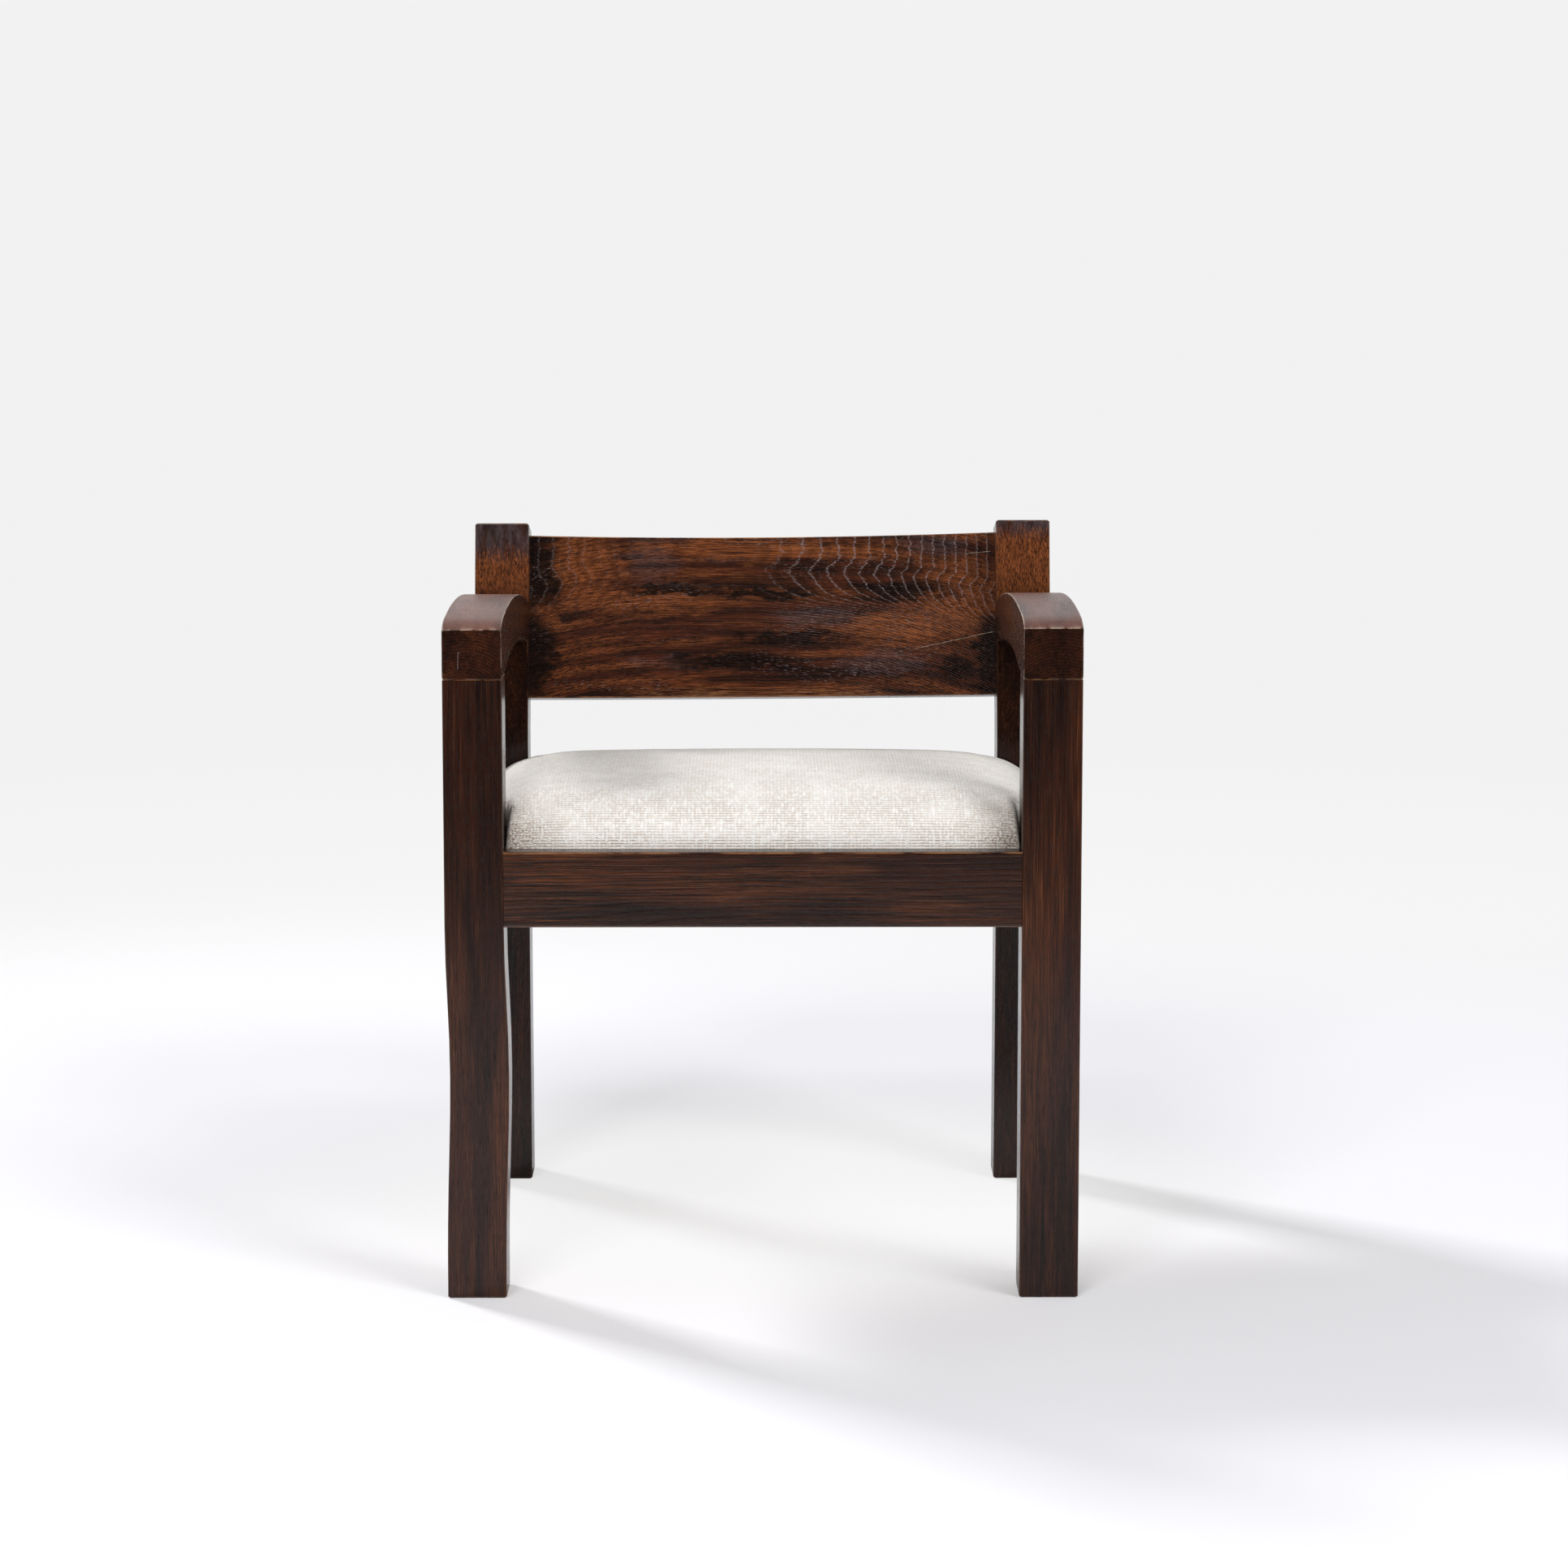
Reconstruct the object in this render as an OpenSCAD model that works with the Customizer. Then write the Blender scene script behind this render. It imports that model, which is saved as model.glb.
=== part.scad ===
// Oak armchair with bow arms, a curved backrest board and a drop-in upholstered seat.
// Millimetres. Z is up and the chair faces -Y. The origin is on the floor, under the middle of the chair.

/* [Overall] */
// Width over the legs and arms
overall_width = 600; // [540:5:660]
// Side of the square leg section
leg_size = 56; // [48:1:64]
// Height of the front legs, up to the seam under the arms
front_leg_height = 593.5; // [570:0.5:620]
// Front face of the rear feet, behind the front face of the front legs
foot_setback = 501; // [470:1:530]
// Front face of the rear legs at their bend, behind the front face of the front legs
bend_setback = 480.5; // [455:0.5:500]
// Height of the bend in the rear legs
bend_height = 472; // [462:1:485]
// Radius of the bend, on the front face
bend_radius = 150; // [80:10:300]
// Lean of the back posts
post_rake = 13.4; // [8:0.2:18]
// Height of the left back post, at its front edge
post_height = 693; // [685:1:740]
// How much higher the right end of the back stands than the left end
back_skew = 3.3; // [0:0.1:5]
// Inward bow of the left front leg below the rail
left_leg_bow = 3.9; // [0:0.1:6]
// Rounding of the long edges of legs, posts and arms
arris_radius = 1.8; // [1:0.1:4]
// Chamfer round the feet and the tops of the posts
end_chamfer = 1.6; // [0.5:0.1:3]

/* [Seat rails] */
// Height of the rails' top edge
rail_top = 430; // [420:1:440]
// Depth of the rails from top to bottom
rail_height = 72; // [65:1:90]
// Thickness of the rails
rail_thickness = 25; // [20:1:28]
// Rounding of the rails' long edges
rail_arris = 3; // [1:0.5:5]
// Thickness of the rail tenons
tenon_thickness = 10; // [6:1:12]
// Length of the rail tenons
tenon_length = 28; // [20:1:30]
// Shoulder above and below the rail tenons
tenon_shoulder = 10; // [6:1:18]
// Clearance all round a tenon or dowel
joint_clearance = 0.15; // [0.05:0.05:0.3]
// Room left at the bottom of a mortise or dowel hole
mortise_room = 1; // [0.5:0.5:3]

/* [Arms] */
// Thickness of the arm at its front edge, before the nose is eased off
arm_front_thickness = 52.5; // [44:0.5:60]
// How much lower the arm's top stands at the post than at the front
arm_fall = 33.6; // [20:0.2:45]
// Thickness of the arm where it meets the post
arm_rear_thickness = 42.9; // [36:0.1:50]
// Rise of the arm's top above a straight line, in its front third
arm_top_rise_front = 22.5; // [15:0.5:30]
// Rise of the arm's top above a straight line, in its rear third
arm_top_rise_rear = 21.5; // [12:0.5:28]
// Drop of the rounded nose at the arm's front edge
arm_nose_drop = 6; // [2:0.5:10]
// Length of the rounded nose
arm_nose_length = 30; // [15:1:45]
// Rise of the arm's underside above a straight line, in its front third
arm_bottom_rise_front = 20.5; // [10:0.5:26]
// Rise of the arm's underside above a straight line, in its rear third
arm_bottom_rise_rear = 18.5; // [10:0.5:24]
// Diameter of the dowels between a front leg and its arm
dowel_diameter = 10; // [8:1:12]
// Depth of a dowel in the leg and in the arm
dowel_depth = 24; // [18:1:30]
// Distance between the two dowels of an arm
dowel_spacing = 26; // [20:1:30]
// Thickness of the tenon at the arm's rear end
arm_tenon_thickness = 14; // [8:1:18]
// Height of the tenon at the arm's rear end
arm_tenon_height = 26; // [16:1:28]
// Length of the tenon at the arm's rear end
arm_tenon_length = 26; // [15:1:28]
// How much thicker the right arm is than the left one
right_arm_extra = 1.3; // [0:0.1:3]

/* [Backrest] */
// Height of the backrest board along the rake
board_height = 172; // [150:0.5:190]
// Distance from the post's top end down to the board's top edge
board_drop = 8.4; // [4:0.2:30]
// Thickness of the backrest board
board_thickness = 22; // [16:1:24]
// How far the board's ends sit behind the posts' front faces
board_recess = 31; // [20:1:31]
// How far the middle of the board curves back from its ends
board_curve = 26; // [12:1:40]
// Rise of the board's bottom edge towards its middle
board_bottom_rise = 2.2; // [0:0.1:6]
// Rounding of the board's long edges
board_arris = 2.2; // [1:0.2:5]
// Length of the board's tenons
board_tenon_length = 22; // [12:1:26]
// Thickness of the board's tenons
board_tenon_thickness = 10; // [6:1:12]
// Shoulder above and below the board's tenons
board_tenon_shoulder = 15; // [8:1:30]

/* [Corner blocks and cleats] */
// Distance from the rails' inner corner to the front face of a corner block, along each rail
block_reach = 62; // [62:1:80]
// Width of the corner block across its diagonal face
block_thickness = 28; // [22:1:34]
// Height of the corner blocks
block_height = 36; // [28:1:40]
// Gap between the corner blocks' tops and the seat
block_drop = 2; // [2:0.5:5]
// Width of the cleats that carry the seat
cleat_width = 14; // [12:1:18]
// Height of the cleats
cleat_height = 20; // [16:1:24]
// Shank diameter of the screws
screw_diameter = 4.4; // [3.5:0.1:5]
// Head diameter of the screws
screw_head = 8.6; // [7:0.2:10]
// Wood left under the head of a corner block screw
block_screw_grip = 18; // [14:1:20]
// Depth of the screws in the rails
screw_bite = 17; // [12:1:18]

/* [Seat] */
// How deep the seat sits below the rails' top edge
seat_drop = 22; // [18:1:26]
// Gap between the seat and the rails and legs
seat_gap = 0.8; // [0.5:0.1:1.5]
// Height of the seat's rounded edge above the rails
edge_height = 23; // [15:1:35]
// Width of the seat's rounded edge
edge_width = 20; // [14:1:30]
// Width of the seat's rounded edge beside the legs
notch_edge_width = 8; // [4:1:20]
// Rise of the seat's crown above its rounded edge
crown_height = 35; // [20:1:45]
// Thickness of the cover fabric
cover_thickness = 1.2; // [0.8:0.1:2]
// Thickness of the wadding between the foam and the cover
wadding = 6; // [3:0.5:10]
// Width of the cover's hem under the seat frame
hem_width = 24; // [20:1:30]
// Thickness of the seat frame's members
frame_thickness = 20; // [16:1:21]
// Width of the seat frame's front and rear members
frame_width = 50; // [40:1:60]
// Width of the seat frame's side members
frame_side_width = 58; // [50:1:64]
// Length of the tenons of the front and rear members
frame_tenon_length = 22; // [12:1:40]
// Shoulder beside the tenons of the front and rear members
frame_tenon_shoulder = 8; // [4:1:16]
// Width of a webbing strap
webbing_width = 50; // [40:1:60]
// Thickness of a webbing strap
webbing_thickness = 1.6; // [1.2:0.1:2.4]
// Number of straps from front to rear
webbing_long_count = 4; // [3:1:4]
// Number of straps from side to side
webbing_cross_count = 3; // [2:1:4]

/* [Hidden] */

oak = [0.22, 0.12, 0.08];
beech = [0.75, 0.60, 0.42];
ivory = [0.90, 0.87, 0.82];
jute = [0.66, 0.53, 0.36];
steel = [0.62, 0.62, 0.64];
foam_yellow = [0.88, 0.80, 0.58];

// Segments of a rounded edge, and of a round hole or screw
arris_steps = 4;
round_steps = 32;
// Large enough to cut right through any piece
far = 1200;
// How far a cut runs past the face that it leaves
cut = 1;
// How far a tenon's root reaches back into its own piece
tenon_root = 10;
// Gap between the flat layers of the seat
layer_gap = 0.1;

inner_x = overall_width / 2 - leg_size;
leg_x = (overall_width - leg_size) / 2;
rail_bottom = rail_top - rail_height;
rail_inner_x = overall_width / 2 - rail_thickness;
foot_rake = atan((bend_setback - foot_setback) / bend_height);
post_length = (post_height - bend_height) / cos(post_rake);
right_extra = back_skew / cos(post_rake);

// The board in the post's own frame: distances up the rake from the bend, and back from the front face
board_top = post_length - board_drop;
board_bottom = board_top - board_height;
board_back = board_recess + board_curve + board_thickness;

// The chair's depth, from the front legs to whichever stands further back: board or post
board_reach = bend_setback + (board_top + right_extra / 2 - board_arris) * sin(post_rake)
    + (board_back - board_arris) * cos(post_rake) + board_arris;
post_reach = bend_setback + (post_length + right_extra - end_chamfer) * sin(post_rake)
    + leg_size * cos(post_rake);
overall_depth = max(board_reach, post_reach);

// The seat's outline and levels
seat_half_width = rail_inner_x - seat_gap;
seat_front = rail_thickness + seat_gap;
rear_rail_face = bend_setback + (leg_size - rail_thickness) * cos(foot_rake)
    + (rail_top - bend_height) * sin(foot_rake);
seat_rear = rear_rail_face - seat_gap;
notch_x = inner_x - seat_gap;
notch_front = leg_size + seat_gap;
notch_rear = bend_setback - seat_gap;
seat_middle = (seat_front + seat_rear) / 2;
seat_half_depth = (seat_rear - seat_front) / 2;
soft_gap = 0.3;
cleat_top = rail_top - seat_drop;
hem_bottom = cleat_top + soft_gap;
hem_top = hem_bottom + cover_thickness;
frame_inset = cover_thickness + soft_gap;
frame_bottom = hem_top + layer_gap;
frame_top = frame_bottom + frame_thickness;
weave_amplitude = webbing_thickness / 2 + layer_gap;
weave_level = frame_top + webbing_thickness / 2;
hessian_bottom = weave_level + weave_amplitude + webbing_thickness / 2 + layer_gap;
hessian_thickness = 0.7;
hessian_inset = 10;
foam_bottom = hessian_bottom + hessian_thickness + layer_gap;
foam_inset = 5;

// Points of a rounded rectangle between two corners, counter-clockwise
function rounded_rect(lo, hi, r) = [
    for (k = [0:3], i = [0:arris_steps])
        let (a = 90 * (k + i / arris_steps),
             c = [(k == 0 || k == 3) ? hi.x - r : lo.x + r, k < 2 ? hi.y - r : lo.y + r])
            c + r * [cos(a), sin(a)]
];

// Closed skin through rings that have the same number of points
module loft(rings) {
    m = len(rings[0]);
    last = (len(rings) - 1) * m;
    polyhedron(
        points = [for (ring = rings) for (p = ring) p],
        faces = concat(
            [[for (j = [0:m - 1]) j]],
            [for (i = [0:len(rings) - 2], j = [0:m - 1], k = [0, 1])
                let (a = i * m + j, b = i * m + (j + 1) % m)
                    k == 0 ? [a, a + m, b + m] : [a, b + m, b]],
            [[for (j = [m - 1:-1:0]) last + j]]));
}

// Bar along X with rounded edges; its section runs from lo to hi in Y and Z
module bar_x(x0, x1, lo, hi, r)
    loft([for (x = [x0, x1]) [for (p = rounded_rect(lo, hi, r)) [x, p.x, p.y]]]);

// Bar along Y with rounded edges; its section runs from lo to hi in X and Z
module bar_y(y0, y1, lo, hi, r)
    loft([for (y = [y0, y1]) [for (p = rounded_rect([lo.y, lo.x], [hi.y, hi.x], r)) [p.y, y, p.x]]]);

// Plain block between two corners
module block(lo, hi)
    translate(lo) cube(hi - lo);

// Puts the middle of the chair over the origin; everything else is measured from its front face
module placed()
    translate([0, -overall_depth / 2, 0]) children();

// Frame of the leaning back posts: Z up the rake from the bend, Y back from the front face
module in_post()
    translate([0, bend_setback, bend_height]) rotate([-post_rake, 0, 0]) children();

// Frame of the rear legs below the bend
module in_lower_leg()
    translate([0, bend_setback, bend_height]) rotate([-foot_rake, 0, 0]) children();

// The rear corners repeat the front ones, turned round and leaning with the rear legs
module at_end(rear)
    if (rear) in_lower_leg() translate([0, leg_size, -bend_height]) mirror([0, 1, 0]) children();
    else children();

module at_side(side)
    if (side < 0) mirror([1, 0, 0]) children();
    else children();

// Tenons of the front and rear rails, as one bar that runs through the rail
module end_rail_core(clear, room) {
    reach = inner_x + tenon_length + room;
    middle = rail_thickness / 2;
    half = tenon_thickness / 2 + clear;
    block([-reach, middle - half, rail_bottom + tenon_shoulder - clear],
          [reach, middle + half, rail_top - tenon_shoulder + clear]);
}

module end_rail(rear)
    at_end(rear) union() {
        bar_x(-inner_x, inner_x, [0, rail_bottom], [rail_thickness, rail_top], rail_arris);
        end_rail_core(0, 0);
    }

// Tenons of a side rail, as one bar that runs through the rail
module side_rail_core(side, clear, room) {
    middle = side * (overall_width - rail_thickness) / 2;
    half = tenon_thickness / 2 + clear;
    rear_face = bend_setback - tan(foot_rake) * (bend_height - rail_top);
    block([middle - half, leg_size - tenon_length - room, rail_bottom + tenon_shoulder - clear],
          [middle + half, rear_face + tenon_length + room, rail_top - tenon_shoulder + clear]);
}

// Rear legs and back posts: straight foot, rounded bend, straight post. Centre of the bend's circle
tangent = bend_radius * tan((post_rake - foot_rake) / 2);
bend_centre = [bend_setback - tangent * sin(foot_rake) + bend_radius * cos(foot_rake),
               bend_height - tangent * cos(foot_rake) - bend_radius * sin(foot_rake)];
bend_steps = 5;
// Depth and height of the front face, at an angle of its bend
function bend_point(angle) = bend_centre + bend_radius * [-cos(angle), sin(angle)];
function bend_angle(i) = foot_rake + (post_rake - foot_rake) * i / bend_steps;

// Everything behind the front face of the rear legs
module behind_rear_legs()
    rotate([90, 0, 90]) translate([0, 0, -far / 2]) linear_extrude(far)
        polygon(concat(
            [[far, -far], bend_point(foot_rake) - far * [sin(foot_rake), cos(foot_rake)]],
            [for (i = [0:bend_steps]) bend_point(bend_angle(i))],
            [bend_point(post_rake) + far * [sin(post_rake), cos(post_rake)], [far, far]]));

module side_rail(side) {
    outer = side * overall_width / 2;
    inner = side * rail_inner_x;
    difference() {
        bar_y(leg_size, bend_setback + leg_size, [min(outer, inner), rail_bottom],
              [max(outer, inner), rail_top], rail_arris);
        behind_rear_legs();
    }
    side_rail_core(side, 0, 0);
}

// Heights of the arm's ends
arm_front_top = front_leg_height + arm_front_thickness;
arm_rear_top = arm_front_top - arm_fall;
arm_rear_bottom = arm_rear_top - arm_rear_thickness;

// Cubic through a start and an end, with a rise above the straight line at each third
function bow(start, end, rise_front, rise_rear, t) =
    let (a = start + (end - start) / 3 + rise_front, b = end + (start - end) / 3 + rise_rear, s = 1 - t)
        start * s * s * s + 3 * a * s * s * t + 3 * b * s * t * t + end * t * t * t;

arm_end = bend_setback + (arm_rear_top - bend_height) * tan(post_rake);
arm_steps = 22;
// Slices of the rounded nose, as shares of its length
nose_shares = [0.2, 0.5, 1];
// The arm's blank runs on past the post's face, which then trims it
arm_overrun = 15;
function arm_top(y) =
    bow(arm_front_top, arm_rear_top, arm_top_rise_front, arm_top_rise_rear, y / arm_end)
    - arm_nose_drop * pow(1 - min(1, y / arm_nose_length), 2);
function arm_bottom(y) = y <= leg_size ? front_leg_height
    : bow(front_leg_height, arm_rear_bottom, arm_bottom_rise_front, arm_bottom_rise_rear,
          (y - leg_size) / (arm_end - leg_size));
arm_stations = concat(
    [for (share = nose_shares) share * arm_nose_length],
    [for (i = [0:arm_steps]) leg_size + (arm_end + arm_overrun - leg_size) * i / arm_steps]);

function arm_ring(y, inset, extra) = [
    for (p = rounded_rect([arm_bottom(y) + inset, -leg_size / 2 + inset],
                          [arm_top(y) + extra - inset, leg_size / 2 - inset], arris_radius))
        [p.y, y, p.x]
];

// Tenon at the arm's rear end, square to the leaning post
module arm_tenon(clear, room) {
    middle = ((arm_rear_top + arm_rear_bottom) / 2 - bend_height) / cos(post_rake);
    in_post() block([-arm_tenon_thickness / 2 - clear, -tenon_root, middle - arm_tenon_height / 2 - clear],
                    [arm_tenon_thickness / 2 + clear, arm_tenon_length + room,
                     middle + arm_tenon_height / 2 + clear]);
}

module dowels(clear, room)
    for (end = [-0.5, 0.5])
        translate([0, leg_size / 2 + end * dowel_spacing, front_leg_height - dowel_depth - room])
            cylinder(d = dowel_diameter + 2 * clear, h = 2 * (dowel_depth + room), $fn = round_steps);

module arm(side, extra)
    translate([side * leg_x, 0, 0]) {
        difference() {
            loft(concat([arm_ring(0, end_chamfer / 2, extra)], [arm_ring(end_chamfer / 2, 0, extra)],
                        [for (y = arm_stations) arm_ring(y, 0, extra)]));
            behind_rear_legs();
            dowels(joint_clearance, mortise_room);
        }
        arm_tenon(0, 0);
    }

module arm_dowels(side)
    translate([side * leg_x, 0, 0]) dowels(0, 0);

// Sideways shift of a bowed leg at a height
bow_skew = 1.335;
function leg_bow(z, bow) = bow * (1 - cos(360 * pow(min(1, z / rail_bottom), bow_skew))) / 2;
leg_steps = 10;

function front_leg_ring(z, inset, bow) =
    let (half = leg_size / 2 - inset, shift = leg_bow(z, bow))
        [for (p = rounded_rect([-half - shift, -half], [half - shift, half], arris_radius))
            [p.x, p.y + leg_size / 2, z]];

module front_leg(side, bow) {
    bow_levels = bow == 0 ? [] : [for (i = [1:leg_steps]) rail_bottom * i / leg_steps];
    difference() {
        at_side(side) translate([leg_x, 0, 0])
            loft(concat(
                [front_leg_ring(0, end_chamfer, 0), front_leg_ring(end_chamfer, 0, bow)],
                [for (z = bow_levels) front_leg_ring(z, 0, bow)],
                [front_leg_ring(front_leg_height - end_chamfer / 2, 0, 0),
                 front_leg_ring(front_leg_height, end_chamfer / 2, 0)]));
        end_rail_core(joint_clearance, mortise_room);
        side_rail_core(side, joint_clearance, mortise_room);
        translate([side * leg_x, 0, 0]) dowels(joint_clearance, mortise_room);
    }
}

// Slice across a rear leg or post, from a point of its front face
function post_ring(front, angle, inset) = [
    for (p = rounded_rect([inset - leg_size / 2, inset], [leg_size / 2 - inset, leg_size - inset],
                          arris_radius))
        [p.x, front[0] + p.y * cos(angle), front[1] - p.y * sin(angle)]
];
function foot_ring(z, inset) = [
    for (p = rounded_rect([inset - leg_size / 2, inset], [leg_size / 2 - inset, leg_size - inset],
                          arris_radius))
        [p.x, foot_setback + z * tan(foot_rake) + p.y / cos(foot_rake), z]
];
function top_ring(length, inset) =
    post_ring([bend_setback, bend_height] + length * [sin(post_rake), cos(post_rake)], post_rake, inset);

module rear_leg(side) {
    length = post_length + (side > 0 ? right_extra : 0);
    difference() {
        translate([side * leg_x, 0, 0])
            loft(concat(
                [foot_ring(0, end_chamfer), foot_ring(end_chamfer, 0)],
                [for (i = [0:bend_steps]) post_ring(bend_point(bend_angle(i)), bend_angle(i), 0)],
                [top_ring(length - end_chamfer, 0), top_ring(length, end_chamfer)]));
        at_end(true) end_rail_core(joint_clearance, mortise_room);
        side_rail_core(side, joint_clearance, mortise_room);
        translate([side * leg_x, 0, 0]) arm_tenon(joint_clearance, mortise_room);
        board_tenons(joint_clearance, mortise_room);
    }
}

// Turns the backrest so that its right end stands higher
module skewed() {
    middle = (board_top + board_bottom) / 2;
    in_post() translate([0, 0, middle + right_extra / 2])
        rotate([0, -atan(right_extra / (2 * inner_x)), 0]) translate([0, 0, -middle]) children();
}

module board_tenons(clear, room) {
    reach = inner_x + board_tenon_length + room;
    middle = board_recess + board_thickness / 2;
    half = board_tenon_thickness / 2 + clear;
    for (side = [-1, 1])
        skewed() at_side(side)
            block([inner_x - tenon_root, middle - half, board_bottom + board_tenon_shoulder - clear],
                  [reach, middle + half, board_top - board_tenon_shoulder + clear]);
}

// Slice across the bent board at an angle of its bend
board_radius = (inner_x * inner_x + board_curve * board_curve) / (2 * board_curve);
board_steps = 30;
board_overrun = 4;
function board_ring(angle) =
    let (share = board_radius * sin(angle) / inner_x,
         low = board_bottom + board_bottom_rise * max(0, 1 - share * share))
        [for (p = rounded_rect([0, low], [board_thickness, board_top], board_arris))
            [(board_radius + p.x) * sin(angle),
             board_recess + board_curve - board_radius + (board_radius + p.x) * cos(angle), p.y]];

module backrest_board() color(oak) placed() {
    sweep = asin((inner_x + board_overrun) / board_radius);
    intersection() {
        skewed() loft([for (i = [-board_steps / 2:board_steps / 2]) board_ring(2 * sweep * i / board_steps)]);
        translate([-inner_x, 0, 0]) cube([2 * inner_x, far, far]);
    }
    board_tenons(0, 0);
}

// Screw along Z with a flat countersunk head at the origin, its shank pointing down
module screw(length, clear) {
    head = (screw_head - screw_diameter) / 2;
    translate([0, 0, -length]) cylinder(d = screw_diameter + 2 * clear, h = length, $fn = round_steps);
    translate([0, 0, -head])
        cylinder(d1 = screw_diameter + 2 * clear, d2 = screw_head + 2 * clear, h = head,
                 $fn = round_steps);
}

slot_width = 1.2;
slot_depth = 1.1;
module slotted_screw(length)
    difference() {
        screw(length, 0);
        translate([-screw_head, -slot_width / 2, -slot_depth])
            cube([2 * screw_head, slot_width, slot_depth + cut]);
    }

// The two screws of the right-hand block lie in the corner's own frame
block_seam = block_reach + block_thickness * sqrt(2);
block_top = cleat_top - block_drop;
// Towards the corner from the middle of the block's face on the rail, to leave wood beside the head
block_screw_shift = 4;
block_screw_place = (block_reach + block_seam) / 2 - block_screw_shift;
// The two screws lie at thirds of the block's height, so they pass each other
block_third = block_height / 3;
module at_block_screws() {
    grip = block_screw_grip;
    place = block_screw_place;
    translate([rail_inner_x - grip, rail_thickness + place, block_top - block_third])
        rotate([0, -90, 0]) children();
    translate([rail_inner_x - place, rail_thickness + grip, block_top - 2 * block_third])
        rotate([-90, 0, 0]) children();
}
// Room round a screw's head in the hole that a driver reaches it through
driver_room = 1;
driver_reach = block_seam + block_thickness;

module corner_block(side, rear) color(beech) placed()
    at_end(rear) at_side(side) difference() {
        translate([rail_inner_x, rail_thickness, block_top - block_height])
            linear_extrude(block_height)
                polygon([[0, block_reach], [0, block_seam], [-block_seam, 0], [-block_reach, 0]]);
        at_block_screws() {
            screw(driver_reach, joint_clearance / 2);
            cylinder(d = screw_head + driver_room, h = driver_reach, $fn = round_steps);
        }
    }

module block_screws(side, rear, clear)
    at_end(rear) at_side(side) at_block_screws()
        if (clear == 0) slotted_screw(block_screw_grip + screw_bite);
        else screw(block_screw_grip + screw_bite + mortise_room, clear);

module corner_block_screws() color(steel) placed()
    for (side = [-1, 1], rear = [false, true]) block_screws(side, rear, 0);

// Cleats along the rails, between the corner blocks
cleat_gap = 0.5;
cleat_end = block_seam + cleat_gap;
// Outer screws' distance from a cleat's ends
cleat_screw_inset = 25;
module end_cleat_blank(y0, y1) {
    half = rail_inner_x - cleat_end;
    block([-half, y0, cleat_top - cleat_height], [half, y1, cleat_top]);
}

module behind_rear_rail()
    at_end(true) translate([-far / 2, -far + rail_thickness, 0]) cube(far);

cleat_screw_length = cleat_width + screw_bite;
module at_cleat_screws(which) {
    half = rail_inner_x - cleat_end - cleat_screw_inset;
    level = cleat_top - cleat_height / 2;
    side_front = rail_thickness + cleat_end + cleat_screw_inset;
    side_rear = seat_rear - cleat_end - cleat_screw_inset;
    if (which == "front")
        for (x = [-half, 0, half])
            translate([x, rail_thickness + cleat_width, level]) rotate([-90, 0, 0]) children();
    if (which == "rear")
        for (x = [-half, 0, half])
            translate([x, seat_rear - cleat_width, level]) rotate([90, 0, 0]) children();
    if (which == "left" || which == "right")
        at_side(which == "left" ? -1 : 1)
            for (y = [side_front, (side_front + side_rear) / 2, side_rear])
                translate([rail_inner_x - cleat_width, y, level]) rotate([0, -90, 0]) children();
}

module cleat_bores(which)
    at_cleat_screws(which) screw(cleat_screw_length + mortise_room, joint_clearance / 2);

module seat_cleat_front() color(beech) placed() difference() {
    end_cleat_blank(rail_thickness, rail_thickness + cleat_width);
    cleat_bores("front");
}

module seat_cleat_rear() color(beech) placed() difference() {
    end_cleat_blank(seat_rear - cleat_width, seat_rear + cleat_width);
    behind_rear_rail();
    cleat_bores("rear");
}

module seat_cleat(which) color(beech) placed() difference() {
    at_side(which == "left" ? -1 : 1)
        block([rail_inner_x - cleat_width, rail_thickness + cleat_end, cleat_top - cleat_height],
              [rail_inner_x, seat_rear - cleat_end, cleat_top]);
    cleat_bores(which);
}

module seat_cleat_screws() color(steel) placed()
    for (which = ["front", "rear", "left", "right"])
        at_cleat_screws(which) slotted_screw(cleat_screw_length);

// Legs and rails, with their screw holes
module front_leg_left() color(oak) placed() front_leg(-1, left_leg_bow);
module front_leg_right() color(oak) placed() front_leg(1, 0);
module rear_leg_left() color(oak) placed() rear_leg(-1);
module rear_leg_right() color(oak) placed() rear_leg(1);
module arm_left() color(oak) placed() arm(-1, 0);
module arm_right() color(oak) placed() arm(1, right_arm_extra);
module arm_dowels_left() color(beech) placed() arm_dowels(-1);
module arm_dowels_right() color(beech) placed() arm_dowels(1);

module end_rail_drilled(rear, which) color(oak) placed() difference() {
    end_rail(rear);
    for (side = [-1, 1]) block_screws(side, rear, joint_clearance / 2);
    cleat_bores(which);
}

module side_rail_drilled(side, which) color(oak) placed() difference() {
    side_rail(side);
    for (rear = [false, true]) block_screws(side, rear, joint_clearance / 2);
    cleat_bores(which);
}

module front_rail() end_rail_drilled(false, "front");
module rear_rail() end_rail_drilled(true, "rear");
module side_rail_left() side_rail_drilled(-1, "left");
module side_rail_right() side_rail_drilled(1, "right");

// Seat outline, notched round the four legs and drawn in by an inset
module seat_notches(inset)
    for (side = [-1, 1]) at_side(side) {
        translate([notch_x - inset, notch_front + inset - far]) square(far);
        translate([notch_x - inset, notch_rear - inset]) square(far);
    }

module seat_outline(inset)
    difference() {
        translate([inset - seat_half_width, seat_front + inset])
            square([2 * (seat_half_width - inset), seat_rear - seat_front - 2 * inset]);
        seat_notches(inset);
    }

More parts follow.
